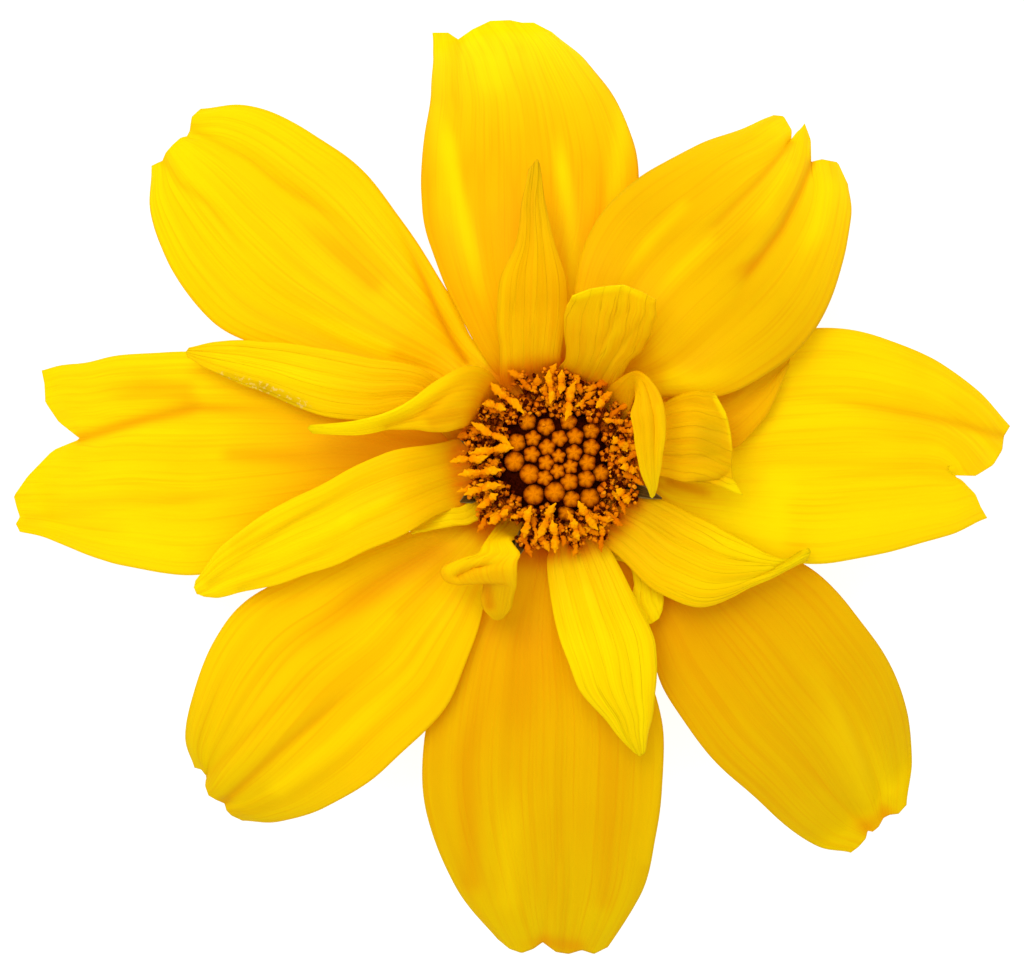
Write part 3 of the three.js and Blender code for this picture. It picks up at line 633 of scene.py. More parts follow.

# %% [markdown]
# No two petals have the same creases. A crease runs down from each notch, and a margin is rolled
# or folded here and there. The yellow is painted darker along the creases and where a neighbour's
# shadow falls, painted lighter on strips that face the light, and its tint varies in other places.
# Each mark is a soft line in the plan: how deep it presses the petal (less than nothing raises it),
# half its breadth, how much it darkens the yellow (less than nothing brightens it), and the places
# that it runs through. It dies away in the second half of its line. A mark that only tints the
# petal also fades in, over the first fifth, so that it has no hard start.

# %% Creases and tones
MARKS = {
    "ray_north": [
        (0.10, 0.4, 0.35, [(-4.6, 21.0), (-4.7, 18.5), (-4.5, 15.5), (-3.9, 12.0), (-3.2, 9.0)]),
        (0.06, 0.5, 0.25, [(-1.5, 20.5), (-0.9, 17.0), (-0.5, 15.0)]),
        (0.05, 0.5, 0.0, [(2.6, 17.5), (2.9, 14.0), (2.4, 10.5)]),
        (0.0, 0.6, -0.55, [(3.9, 20.5), (3.6, 16.5), (3.1, 12.5), (2.6, 9.0)]),
        (0.0, 1.2, -0.5, [(-3.0, 20.6), (-2.8, 17.5)]),
        (-0.05, 0.5, -0.3, [(-5.6, 17.5), (-5.5, 13.0), (-4.2, 8.6)]),
        (0.0, 0.5, -0.7, [(0.1, 17.5), (1.0, 12.0), (1.3, 8.0), (0.9, 5.4)]),
        (0.0, 0.6, -0.8, [(-5.1, 18.0), (-4.6, 13.5), (-3.7, 9.5), (-2.9, 6.0)]),
    ],
    "ray_northeast": [
        (0.20, 0.3, 0.5, [(12.05, 15.8), (10.5, 14.0), (8.0, 11.5), (6.3, 9.9)]),
        (0.30, 0.3, 0.65, [(13.05, 14.9), (12.5, 13.5), (11.5, 11.5), (10.0, 9.5), (9.3, 8.0)]),
        (-0.1, 0.7, -0.6, [(14.0, 13.6), (13.3, 11.5), (12.2, 9.6)]),
        (-0.05, 0.4, -0.5, [(11.9, 14.6), (10.8, 12.6), (9.3, 10.8)]),
        (0.0, 1.0, 0.4, [(9.4, 9.9), (10.0, 9.0)]),
        (0.05, 0.5, 0.2, [(10.0, 16.0), (6.5, 13.0), (4.3, 10.5)]),
        (0.0, 0.7, -0.6, [(5.2, 4.2), (7.5, 3.9), (10.0, 4.8)]),
        (0.0, 0.45, -0.6, [(7.4, 13.6), (5.0, 11.0), (2.8, 8.2)]),
        (0.0, 0.45, -0.5, [(8.6, 11.6), (6.6, 9.6), (4.6, 7.4)]),
    ],
    "ray_east": [
        (0.20, 0.35, 0.45, [(22.6, 1.2), (20.0, 1.9), (17.0, 2.5), (14.0, 3.0), (11.0, 2.9)]),
        (0.14, 0.4, 0.3, [(20.2, -0.75), (18.0, -0.6), (15.0, -0.8), (12.0, -1.1)]),
        (0.0, 0.7, -0.5, [(21.0, 2.9), (17.0, 4.3), (13.0, 4.9)]),
        (0.0, 1.4, -0.7, [(22.5, -1.6), (18.0, -2.8), (13.5, -3.6), (10.5, -3.2)]),
        (0.0, 0.5, -0.4, [(20.5, 0.6), (17.0, 0.4), (13.0, 0.2)]),
        (0.0, 1.6, -0.9, [(12.4, -3.3), (9.4, -3.1), (7.0, -2.2)]),
        (0.0, 0.8, -0.5, [(10.5, -0.6), (13.0, -1.6)]),
        (0.1, 0.45, 0.8, [(6.0, -1.1), (7.6, -1.6), (9.0, -2.2)]),
    ],
    "ray_southeast": [
        (0.08, 0.3, 0.35, [(16.8, -17.8), (15.6, -14.5), (14.0, -10.5), (10.5, -7.0)]),
        (0.08, 0.35, 0.3, [(15.9, -18.5), (13.0, -15.5), (9.8, -12.2), (7.6, -8.7)]),
        (0.0, 0.8, 0.45, [(17.6, -17.2), (16.2, -18.2), (15.2, -19.2)]),
        (0.0, 1.3, 0.5, [(5.2, -5.6), (6.8, -7.4)]),
        (0.0, 1.2, -0.5, [(17.2, -18.0), (15.2, -14.4), (12.4, -9.8)]),
    ],
    "ray_south": [
        (0.0, 0.8, -0.4, [(-2.0, -23.6), (-2.1, -19.0), (-1.9, -14.0)]),
        (0.0, 1.8, 0.4, [(-1.0, -7.0), (-1.5, -12.0), (-1.4, -16.0)]),
        (0.08, 0.7, 0.4, [(2.7, -22.0), (3.1, -16.0), (2.4, -9.5)]),
        (0.05, 0.8, 0.5, [(-3.9, -21.0), (-4.2, -15.0), (-3.2, -10.0)]),
        (0.0, 0.5, 0.55, [(2.2, -24.5), (0.2, -24.2), (-2.0, -24.3)]),
        (0.10, 0.3, 0.25, [(-0.35, -24.2), (0.3, -20.0), (0.5, -15.0)]),
        (-0.05, 0.4, -0.3, [(4.8, -20.0), (5.4, -15.0), (5.0, -12.0)]),
    ],
    "ray_southwest": [
        (0.20, 0.35, 0.5, [(-16.3, -17.1), (-13.6, -14.6), (-10.8, -12.2), (-8.0, -10.0)]),
        (0.12, 0.35, 0.35, [(-17.2, -15.9), (-13.5, -12.2), (-9.5, -8.3)]),
        (-0.05, 0.8, -0.5, [(-13.5, -16.3), (-9.5, -13.2), (-6.0, -9.5)]),
        (0.0, 1.0, 0.65, [(-3.6, -3.4), (-7.5, -5.6), (-10.4, -7.5), (-14.4, -10.4)]),
        (0.05, 0.4, 0.3, [(-7.5, -7.6), (-4.4, -4.6)]),
    ],
    "ray_west": [
        (0.30, 0.4, 0.6, [(-23.5, 1.05), (-20.0, 2.1), (-17.5, 2.6), (-15.0, 2.5), (-12.0, 2.2)]),
        (0.0, 0.8, 0.5, [(-17.0, 3.4), (-20.0, 3.6), (-24.0, 3.2)]),
        (0.0, 0.5, 0.4, [(-17.0, 0.3), (-14.0, 0.2), (-10.5, 0.0)]),
        (0.0, 0.8, -0.6, [(-22.5, -3.4), (-18.0, -3.5), (-13.0, -3.6)]),
        (0.0, 0.9, -0.4, [(-25.2, -1.5), (-20.0, -1.8)]),
        (0.08, 0.4, 0.3, [(-26.2, -2.9), (-22.0, -2.5), (-17.0, -1.8), (-12.0, -1.4)]),
        (0.0, 1.8, 0.6, [(-3.4, 1.5), (-6.5, 1.2), (-11.0, 0.6), (-14.5, 0.6)]),
    ],
    "ray_northwest": [
        (0.28, 0.28, 0.7, [
            (-4.2, 4.9), (-4.8, 5.8), (-5.5, 7.2), (-6.3, 9.0), (-7.0, 10.5), (-7.9, 12.4),
        ]),
        (-0.12, 0.35, -0.6, [(-3.2, 5.0), (-4.1, 6.2), (-5.0, 7.9), (-6.0, 9.8), (-7.2, 11.9)]),
        (0.15, 0.3, 0.35, [
            (-18.0, 16.6), (-15.0, 15.0), (-13.5, 13.8), (-12.0, 12.9), (-10.5, 12.0), (-9.0, 10.8),
        ]),
        (0.15, 0.3, 0.35, [
            (-19.35, 15.1), (-18.5, 13.9), (-17.0, 12.7), (-15.5, 10.7), (-14.5, 9.5),
        ]),
        (0.0, 0.8, 0.45, [(-8.0, 8.0), (-10.2, 10.2), (-13.5, 13.0)]),
        (0.0, 0.5, -0.8, [(-7.4, 5.2), (-9.6, 6.1), (-13.4, 7.8)]),
    ],
    "petal_north": [
        (0.08, 0.25, 0.12, [(-1.2, 5.0), (-1.3, 9.0), (-0.9, 12.0), (-0.6, 14.5)]),
        (0.0, 0.3, -0.3, [(-2.4, 5.5), (-2.4, 8.5), (-1.5, 11.0)]),
    ],
    "petal_north_northeast": [
        (-0.1, 0.16, -0.8, [(1.2, 8.15), (2.2, 8.45), (3.6, 8.65), (4.5, 8.25), (5.2, 7.95)]),
        (0.1, 0.2, 0.3, [(1.9, 4.2), (2.4, 5.6), (3.2, 7.0), (4.3, 8.0)]),
        (0.1, 0.2, 0.3, [(2.6, 4.2), (3.4, 5.6), (4.4, 6.8), (5.0, 7.6)]),
        (0.0, 0.4, -0.4, [(2.4, 4.8), (3.0, 6.2), (4.0, 7.4)]),
    ],
    "petal_east_northeast": [
        (0.10, 0.12, 0.3, [(4.7, 3.7), (5.1, 2.2), (5.1, 0.6), (5.1, -1.2)]),
        (-0.08, 0.2, -0.4, [(5.4, 2.6), (5.6, 1.0), (5.35, -0.8)]),
    ],
    "petal_east": [
        (-0.1, 0.16, -0.7, [(8.3, 3.1), (8.85, 2.0), (9.05, 0.9), (9.05, -0.2)]),
        (0.25, 0.16, 0.5, [(7.4, -1.05), (8.4, -0.95), (9.15, -0.45)]),
        (0.0, 0.5, -1.0, [(10.0, -1.9), (9.2, -1.4), (8.2, -1.25)]),
        (0.06, 0.3, 0.35, [(5.6, 2.9), (6.9, 2.9), (8.0, 2.9)]),
        (0.06, 0.2, 0.3, [(5.6, 0.3), (7.2, 0.1), (8.8, 0.4)]),
        (0.0, 0.9, 0.5, [(8.1, 2.3), (7.9, 0.8), (7.2, -0.2)]),
    ],
    "petal_east_lower": [(0.06, 0.3, 0.0, [(11.2, 4.8), (9.5, 2.6), (6.8, 3.0)])],
    "petal_southeast": [
        (-0.22, 0.24, 0.3, [(12.9, -4.75), (11.7, -5.45), (10.9, -5.85), (9.8, -6.4)]),
        (0.15, 0.12, 0.45, [(12.5, -4.65), (11.8, -5.05), (10.9, -5.6), (9.6, -6.1)]),
        (0.06, 0.2, 0.25, [(4.8, -3.2), (6.6, -4.2), (8.6, -5.0), (10.6, -5.1)]),
        (0.06, 0.2, 0.25, [(5.6, -2.6), (7.6, -3.4), (9.6, -4.2), (11.4, -4.5)]),
        (0.0, 0.7, -0.7, [(11.0, -4.9), (9.0, -4.1), (6.4, -2.8)]),
    ],
    "petal_southeast_lower": [(0.1, 0.3, 0.2, [(3.6, -5.4), (4.4, -6.4)])],
    "petal_south": [
        (0.08, 0.2, 0.15, [(0.9, -5.6), (1.7, -8.2), (2.6, -10.6), (4.1, -13.6)]),
        (0.08, 0.2, 0.15, [(1.9, -5.6), (3.2, -8.0), (4.0, -10.4), (4.5, -13.2)]),
        (0.0, 0.3, -0.5, [(1.4, -5.6), (2.4, -8.4), (3.3, -10.8)]),
    ],
    "petal_south_southwest": [
        (0.25, 0.18, 0.45, [(-4.6, -5.75), (-3.8, -5.35), (-3.1, -5.25), (-2.5, -5.15)]),
        (0.04, 0.35, 0.8, [(-3.0, -7.2), (-3.1, -6.4), (-3.1, -5.8)]),
        (-0.1, 0.3, -0.4, [(-5.0, -5.5), (-4.2, -5.1), (-3.2, -4.8)]),
        (0.0, 0.3, -0.3, [(-1.8, -5.0), (-1.9, -7.0)]),
    ],
    "petal_west_southwest": [
        (-0.06, 0.35, -0.7, [(-10.0, -3.0), (-8.6, -2.3), (-7.0, -1.5)]),
        (-0.06, 0.35, -0.8, [(-10.2, -3.1), (-13.0, -4.5), (-15.9, -5.8)]),
        (0.08, 0.3, 0.4, [(-17.0, -6.1), (-13.0, -3.2), (-9.5, -1.1), (-7.0, -0.2)]),
        (0.08, 0.3, 0.35, [(-15.5, -6.4), (-11.5, -4.7), (-8.0, -3.0)]),
        (0.0, 0.3, 0.3, [(-16.2, -4.6), (-13.6, -2.6)]),
    ],
    "petal_west_southwest_lower": [(0.0, 0.3, -0.5, [(-4.6, -2.8), (-6.8, -3.5)])],
    "petal_west": [
        (-0.1, 0.3, -0.9, [
            (-12.0, 1.55), (-9.7, 1.85), (-7.8, 2.4), (-6.7, 2.95), (-5.0, 4.1), (-3.6, 4.6),
        ]),
        (0.15, 0.25, 0.45, [(-8.2, 1.75), (-6.7, 2.2), (-5.2, 3.3), (-4.2, 3.9)]),
        (0.0, 0.6, 0.5, [(-6.4, 1.7), (-5.0, 2.3), (-4.2, 2.9)]),
    ],
    "petal_west_northwest": [
        (-0.05, 0.35, -0.7, [(-16.6, 4.9), (-13.0, 4.2), (-9.2, 3.2)]),
        (0.08, 0.3, 0.25, [(-15.5, 5.6), (-11.6, 5.2), (-8.9, 4.2)]),
        (0.06, 0.4, 0.6, [(-14.0, 3.5), (-12.8, 2.95), (-11.3, 2.5)]),
        (0.04, 0.35, 0.6, [(-14.4, 3.7), (-16.0, 4.3), (-17.6, 5.0)]),
    ],
}


def mark_strength(x, y, breadth, line, soft):
    """How strongly a mark shows at a place in the plan, from 0 to 1. A soft one also fades in."""
    nearest, progress = 1e9, 0.0
    for number, ((from_x, from_y), (to_x, to_y)) in enumerate(zip(line, line[1:])):
        run_x, run_y = to_x - from_x, to_y - from_y
        share = clamp(((x - from_x) * run_x + (y - from_y) * run_y) / (run_x ** 2 + run_y ** 2))
        away = math.hypot(x - from_x - share * run_x, y - from_y - share * run_y)
        if away < nearest:
            nearest, progress = away, (number + share) / (len(line) - 1)
    if nearest > 3 * breadth:
        return 0.0
    fade = (1 - 0.8 * ease(progress, 0.5, 1.0)) * (ease(progress, 0.0, 0.2) if soft else 1.0)
    return math.exp(-(nearest / breadth) ** 2) * fade


print("marks", sum(len(marks) for marks in MARKS.values()))

# %% [markdown]
# The surface is worked out point by point from the ribs, the same way as the solids' own surface,
# so the thin petal lies in the middle of its solid. On top of that come the things that a solid
# 0.6 mm thick can't hold: fine lengthwise nerves, the pleats that run down from the notches, and
# margins that waver and curl a little.

# %% The petals' surface


def through(points, share):
    """A smooth curve through the points, at a share of the way along."""
    last = len(points) - 1
    place = clamp(share) * last
    step = min(int(place), last - 1)
    t = place - step
    here, there = points[step], points[step + 1]
    before = points[step - 1] if step > 0 else 2 * here - there
    after = points[step + 2] if step + 2 <= last else 2 * there - here
    leave, arrive = (there - before) / 2, (after - here) / 2
    return (here + leave * t + (3 * (there - here) - 2 * leave - arrive) * t ** 2
            + (2 * (here - there) + leave + arrive) * t ** 3)


def claw_rib(angle, radius, half, height):
    middle = Vector((radius * math.cos(angle), radius * math.sin(angle), height))
    to_left = Vector((-math.sin(angle), math.cos(angle), 0)) * half
    return middle + to_left, middle - to_left


def arch_height(distance, seat, lift, petal):
    """The height of a petal that climbs from its seat to its crest and droops to its tip."""
    climb = clamp((distance - OUTER_CLAW_START) / (CREST_RADIUS - OUTER_CLAW_START))
    risen = seat + (CREST - seat) * math.sin(climb * math.pi / 2)
    lifted = lift * ease(distance, LIFT_START, LIFT_END)
    past = max(0.0, (distance - CREST_RADIUS) / (petal["reach"] - CREST_RADIUS))
    return risen + lifted - (CREST + lift - petal["tip_height"]) * past ** petal["bend"]


THIN = 0.24  # the look of a real petal, in millimetres
WAVER = 0.12  # how far a margin strays
WAVER_PACE = 9  # how quickly it does so along the petal
NERVE = 0.009
NERVES = 9
GROOVE_HALF = 0.08  # of the petal's breadth
LANDING = 0.22  # how softly a tip comes down on the table
HIGH = 20  # so far above the table the landing has no part in a height
NECK_RISE = {"inner": 1.2, "outer": 1.0}  # how far the petals swell up against the florets
NECK_END, NECK_START = 8.0, 4.3


def petal_surface(petal, seed):
    """A function of (u, v) that gives a place and its tone: u from the claw to the tip, v from the
    left margin to the right."""
    inner = petal["row"] == "inner"
    seat = INNER_SEAT if inner else OUTER_SEAT
    start = INNER_CLAW_START if inner else OUTER_CLAW_START
    angle = math.radians(petal["claw"])
    half = petal["claw_half"]
    claw_end = start + CLAW_LENGTH
    ribs = [claw_rib(angle, start, half, seat), claw_rib(angle, claw_end, petal["shoulder"], seat)]
    for left_x, left_y, right_x, right_y, *heights in petal["ribs"]:
        left_z, right_z = heights or (0.0, 0.0)
        ribs.append((Vector((left_x, left_y, left_z)), Vector((right_x, right_y, right_z))))
    left, right = [[rib[side] for rib in ribs] for side in (0, 1)]
    tip = [Vector((x, y, 0)) for x, y in petal["tip"]]
    lift = petal.get("level", 0) * LEVEL
    nerves = petal.get("nerves", NERVES)

    def at(u, v):
        left_point, right_point = through(left, u), through(right, u)
        width = (left_point - right_point).length
        left_stray = noise.noise(Vector((u * WAVER_PACE, seed, 0)))
        right_stray = noise.noise(Vector((u * WAVER_PACE, seed, 9)))
        waver = WAVER * min(1, width / 2) * ((1 - v) * left_stray - v * right_stray)
        point = left_point.lerp(right_point, v + waver * ease(u, 0.2, 0.5) / width)
        place = v * (len(tip) - 1)
        before = min(int(place), len(tip) - 2)
        edge = tip[before].lerp(tip[before + 1], place - before)
        straight = left[-1].lerp(right[-1], v)
        near = ease(u, petal["tip_start"], 1)
        point.x += near * (edge.x - straight.x)
        point.y += near * (edge.y - straight.y)
        if "tip_height" in petal:
            point.z = arch_height(math.hypot(point.x, point.y), seat, lift, petal)
        at_neck = ease(math.hypot(point.x, point.y), NECK_END, NECK_START)
        point.z += NECK_RISE[petal["row"]] * at_neck
        open_share = ease(u, 0.12, 0.4) * min(1, width / FULL_RELIEF_WIDTH)
        point.z += open_share * petal["crown"] * (1 - (2 * v - 1) ** 2 - 0.5)
        for groove in petal["grooves"]:
            point.z -= open_share * petal["fold"] * math.exp(-((v - groove) / GROOVE_HALF) ** 2)
        tone = 0.0
        # A mark's tone is painted shade and painted light along with the petal's own tint.
        for depth, breadth, shade_and_tint, line in petal["marks"]:
            strength = mark_strength(point.x, point.y, breadth, line, depth == 0)
            point.z -= depth * strength
            tone += shade_and_tint * strength
        drift = 0.6 * noise.noise(Vector((u * 2.5, seed, 3)))
        point.z += NERVE * open_share * math.cos(2 * math.pi * (nerves * v + drift))
        above = (point.z - THIN / 2) / LANDING
        point.z = THIN / 2 + LANDING * (above if above > HIGH else math.log1p(math.exp(above)))
        return point, clamp(tone, -1, 1)

    return at


print("a petal is", THIN, "mm thick")

# %% [markdown]
# Petal skin is a satin of lengthwise cells. Its yellow is a strong lemon towards the tip and turns
# to orange at the claw, with fine streaks that follow the nerves, and light comes through it. The
# pattern must follow the petal, so each petal carries its own map, across in x and along in y, and
# the noises that streak it are drawn out along y. A second map holds the tones of its marks, which
# are painted shade, painted light and tint, and how orange it is beside the disc. An image could do
# all this, but it would be somebody's picture.

# %% Petal skin


def petal_skin(name, tones, veins, seed, fold, dusted=False):
    """Streaked petal skin: tones are its paints at claw, middle and tip, veins how many brown
    lines, and fold is the paint of its darkened marks, painted shade and duller tint, which may be
    dusted with pale specks."""
    recipe = Recipe(name)
    petal_map, across, along = recipe.own_map("petal")
    shift = recipe.add("ShaderNodeMapping")
    shift.inputs["Location"].default_value = (seed * 3.7, seed * 1.3, seed)
    recipe.join(petal_map, shift.inputs["Vector"])
    broad = recipe.grain(shift.outputs[0], (0.10, 0.9, 1.0), 2.0)
    fine = recipe.grain(shift.outputs[0], (0.018, 0.5, 1.0), 3.0, 0.65)
    cloud = recipe.grit(0.006, 2.0)

    claw, middle, tip = tones
    lengthwise = recipe.sum("MULTIPLY_ADD", recipe.sum("SUBTRACT", broad, 0.5), 0.3, along)
    colour = recipe.ramp(lengthwise, [(0.02, AMBER), (0.2, claw), (0.55, middle), (0.88, tip)])
    shade = recipe.blend(1.0, colour, STREAK, "MULTIPLY")
    colour = recipe.blend(recipe.spread(broad, 0.42, 0.72, 0.0, 0.5), colour, shade)
    colour = recipe.blend(recipe.spread(fine, 0.45, 0.75, 0.0, 0.75), colour, shade)
    colour = recipe.blend(recipe.spread(cloud, 0.45, 0.8, 0.0, 0.3), colour, shade)

    _, marked, by_disc = recipe.own_map("tone")
    # Marked places take the fold paint as painted shade and duller tint, and lemon as painted light
    # and brighter tint.
    colour = recipe.blend(recipe.spread(marked, 0.5, 1.0, 0.0, 0.85), colour, fold)
    colour = recipe.blend(recipe.spread(marked, 0.5, 0.0, 0.0, 0.85), colour, LEMON)
    if dusted:
        dust, shaded_and_tinted = recipe.grit(0.00022, 2.0), recipe.spread(marked, 0.62, 0.74)
        pale = recipe.sum("MULTIPLY", recipe.spread(dust, 0.56, 0.66), shaded_and_tinted)
        colour = recipe.blend(recipe.sum("MULTIPLY", pale, 0.6), colour, DUSTY)
    rim = recipe.sum("MULTIPLY", by_disc, recipe.spread(broad, 0.3, 0.6, 0.6, 1.0))
    colour = recipe.blend(rim, colour, CLAW_ORANGE)

    relief = recipe.sum("MULTIPLY_ADD", fine, 0.5, broad)
    if veins:
        wobble = recipe.sum("MULTIPLY_ADD", recipe.sum("SUBTRACT", broad, 0.5), 0.3, across)
        wave = recipe.sum("SINE", recipe.sum("MULTIPLY", wobble, 2 * math.pi * veins))
        line = recipe.spread(wave, 0.93, 1.0)
        broken = recipe.spread(fine, 0.40, 0.65)
        amount = recipe.sum("MULTIPLY", recipe.sum("MULTIPLY", line, broken), 0.3)
        amount = recipe.sum("MULTIPLY", amount, recipe.spread(along, 0.25, 0.5))
        colour = recipe.blend(amount, colour, OLIVE_BROWN)
        relief = recipe.sum("SUBTRACT", relief, recipe.sum("MULTIPLY", line, 0.3))
    return recipe.surface(colour, 0.5, relief, 0.00005, 0.3, colour, shine=0.025)


LEMON = paint(255, 232, 0)
YELLOW = paint(254, 224, 0)
GOLD = paint(252, 213, 0)
DEEP_GOLD = paint(248, 200, 0)
HONEY = paint(246, 190, 0)
STRAW = paint(234, 203, 0)
OLD_GOLD = paint(238, 194, 0)
TAWNY = paint(236, 166, 0)
AMBER = paint(234, 150, 0)
OLIVE_BROWN = paint(160, 98, 0)
CLAW_ORANGE = paint(240, 132, 0)
# The next orange is the painted shade of creases and of neighbours' shadows on the petals, and
# their duller tint.
SHADE_ORANGE = paint(228, 146, 0)
# On some inner petals the marks' painted shade and bruises are olive instead.
OLIVE_YELLOW = paint(206, 164, 0)
DUSTY = paint(250, 222, 120)
STREAK = paint(250, 228, 255)
print("claw orange as light", [round(value, 3) for value in CLAW_ORANGE])

# %% [markdown]
# Each petal starts as a flat grid. A grid has even, square cells, so its rows can become the
# petal's ribs and its columns the nerves: every point keeps its place on the grid as its map, and
# is then moved to its place on the petal. Solidify gives the sheet its thin body, thinnest at the
# margins.

# %% From a grid to a petal
TIP_CROWDING = 1.15  # more than 1 sets the rows closer together towards the tip
MARGIN_BODY = 0.4  # the share of the thickness that is left at a margin
MARGIN_BREADTH = 0.07
BLUSH_END, BLUSH_START = 5.9, 4.5  # the orange beside the disc lies within these distances


def petal_piece(name, node, petal, rows, columns, material, slot, seed):
    """Makes one petal as a piece that stands for its node's solid."""
    at = petal_surface(petal, seed)
    bm = bmesh.new()
    bmesh.ops.create_grid(bm, x_segments=rows, y_segments=columns, size=0.5)
    skin_map, tone_map = bm.loops.layers.uv.new("petal"), bm.loops.layers.uv.new("tone")
    body = bm.verts.layers.deform.new()
    for vert in bm.verts:
        across, along = 0.5 - vert.co.y, vert.co.x + 0.5
        u = 1 - (1 - along) ** TIP_CROWDING
        inside = ease(min(across, 1 - across, 1 - u), 0.0, MARGIN_BREADTH)
        vert[body][0] = MARGIN_BODY + (1 - MARGIN_BODY) * inside
        vert.co, tone = at(u, across)
        near_disc = ease(math.hypot(vert.co.x, vert.co.y), BLUSH_END, BLUSH_START)
        by_disc = petal.get("blush", 1.0) * near_disc * (1 - ease(u, 0.2, 0.4))
        for loop in vert.link_loops:
            loop[skin_map].uv = (across, along)
            loop[tone_map].uv = (0.5 + 0.5 * tone, by_disc)
    piece = finish_piece(bm, name, material, slot, node)
    piece.vertex_groups.new(name="body")
    body_wall = piece.modifiers.new("petal_body", "SOLIDIFY")
    body_wall.thickness = THIN * MM
    body_wall.offset = 0.0
    body_wall.vertex_group = "body"


print("a margin has", MARGIN_BODY, "of a petal's thickness")

# %% [markdown]
# No two rays have quite the same yellow in the photo. Each has a paint at its claw, one in its
# middle and one at its tip, and a seed that gives it streaks and margins of its own.

# %% The rays
RAY_GRID = (96, 56)  # rows and columns
RAY_TONES = {
    "ray_north": (DEEP_GOLD, HONEY, LEMON), "ray_northeast": (DEEP_GOLD, OLD_GOLD, YELLOW),
    "ray_east": (YELLOW, YELLOW, YELLOW), "ray_southeast": (TAWNY, OLD_GOLD, STRAW),
    "ray_south": (HONEY, OLD_GOLD, STRAW), "ray_southwest": (GOLD, GOLD, STRAW),
    "ray_west": (TAWNY, YELLOW, YELLOW), "ray_northwest": (GOLD, GOLD, YELLOW),
}
for seed, (node, shape) in enumerate(RAYS.items(), 1):
    skin = petal_skin(f"{node}_skin", RAY_TONES[node], 0, seed, SHADE_ORANGE)
    habit = {**RAY_HABIT, **shape, "marks": MARKS[node]}
    petal_piece(f"{node}_petal", node, habit, *RAY_GRID, skin, "ray_petal", seed)
print("rays made", len(RAYS))

# %% [markdown]
# The inner petals are smaller and more worn than the rays. Brown veins show on some of them, the
# painted shade and bruises of some are olive instead of orange, and pale dust lies in the folds of
# one.

# %% The inner petals
INNER_GRID = (70, 40)
FIRST_INNER_SEED = 21
VEINS = {  # how many veins show across a petal
    "petal_north": 6, "petal_north_northeast": 6, "petal_east": 6, "petal_southeast": 8,
    "petal_south": 7, "petal_west_northwest": 5,
}
# On these petals the painted shade of the marks and their bruises are olive.
BRUISED_AND_SHADED = (
    "petal_north", "petal_north_northeast", "petal_east", "petal_southeast", "petal_west_northwest",
    "petal_west_southwest", "petal_south",
)
DUSTED = ("petal_west_northwest",)
INNER_TONES = {
    "petal_north": (DEEP_GOLD, DEEP_GOLD, OLD_GOLD),
    "petal_north_northeast": (DEEP_GOLD, DEEP_GOLD, GOLD),
    "petal_east_northeast": (DEEP_GOLD, DEEP_GOLD, YELLOW),
    "petal_east": (HONEY, DEEP_GOLD, OLD_GOLD),
    "petal_east_lower": (HONEY, HONEY, DEEP_GOLD),
    "petal_southeast": (DEEP_GOLD, YELLOW, LEMON),
    "petal_southeast_lower": (LEMON, LEMON, LEMON),
    "petal_south": (GOLD, LEMON, LEMON),
    "petal_south_southwest": (YELLOW, DEEP_GOLD, OLD_GOLD),
    "petal_west_southwest": (DEEP_GOLD, YELLOW, LEMON),
    "petal_west_southwest_lower": (DEEP_GOLD, YELLOW, LEMON),
    "petal_west": (DEEP_GOLD, GOLD, LEMON),
    "petal_west_northwest": (DEEP_GOLD, YELLOW, YELLOW),
}
for seed, (node, shape) in enumerate(INNER_PETALS.items(), FIRST_INNER_SEED):
    fold = OLIVE_YELLOW if node in BRUISED_AND_SHADED else SHADE_ORANGE
    veins = VEINS.get(node, 0)
    skin = petal_skin(f"{node}_skin", INNER_TONES[node], veins, seed, fold, node in DUSTED)
    habit = {**INNER_HABIT, **shape, "marks": MARKS[node]}
    petal_piece(f"{node}_fine", node, habit, *INNER_GRID, skin, "inner_petal", seed)
print("inner petals made", len(INNER_PETALS))

# %% [markdown]
# The middle of the disc is a dome of closed buds. A spiral formula could place them, but on a real
# head the old buds at the edge have swollen and pushed the others about, so these are placed one
# by one. Each bud is a small ball whose skin is drawn into five lobes that meet in a star on top:
# the young ones in the middle are stars all through, and the old ones are nearly round.

# %% The closed buds
DOME_RADIUS = 2.95
DOME_EDGE = 9.5
DOME_TOP = 10.3
# Each bud is its place in the plan and its radius, in millimetres.
BUDS = [
    (-0.20, 1.65, 0.43), (-1.14, 1.92, 0.44), (-1.66, 0.86, 0.44), (-0.85, 1.07, 0.40),
    (-0.14, 0.63, 0.41), (0.46, 1.07, 0.41), (0.92, 1.90, 0.42), (1.25, 1.17, 0.42),
    (2.05, 1.44, 0.42), (2.05, 0.63, 0.42), (1.19, 0.36, 0.41), (0.42, 0.19, 0.36),
    (-0.91, 0.28, 0.41), (-0.20, -0.14, 0.40), (-1.77, -0.08, 0.48), (-1.02, -0.70, 0.47),
    (0.38, -0.56, 0.38), (1.02, -0.33, 0.38), (1.86, -0.14, 0.42), (-0.27, -0.89, 0.40),
    (0.96, -1.08, 0.43), (1.80, -0.95, 0.43), (2.55, -0.66, 0.43), (0.23, -1.60, 0.49),
    (-0.81, -1.73, 0.49), (1.05, -1.95, 0.43), (1.98, -1.89, 0.48), (0.80, -2.66, 0.42),
]
LOBES = 5
BUD_SEGMENTS, BUD_RINGS = 30, 14
BUD_SWELL = 1.12  # the buds press against each other
BUD_TOP, BUD_FOOT = 0.9, 1.4  # how much a bud is drawn out above its middle and below it
YOUNG_RADIUS, OLD_RADIUS = 0.37, 0.47


def dome_height(distance):
    return DOME_TOP - (DOME_TOP - DOME_EDGE) * (distance / DOME_RADIUS) ** 2


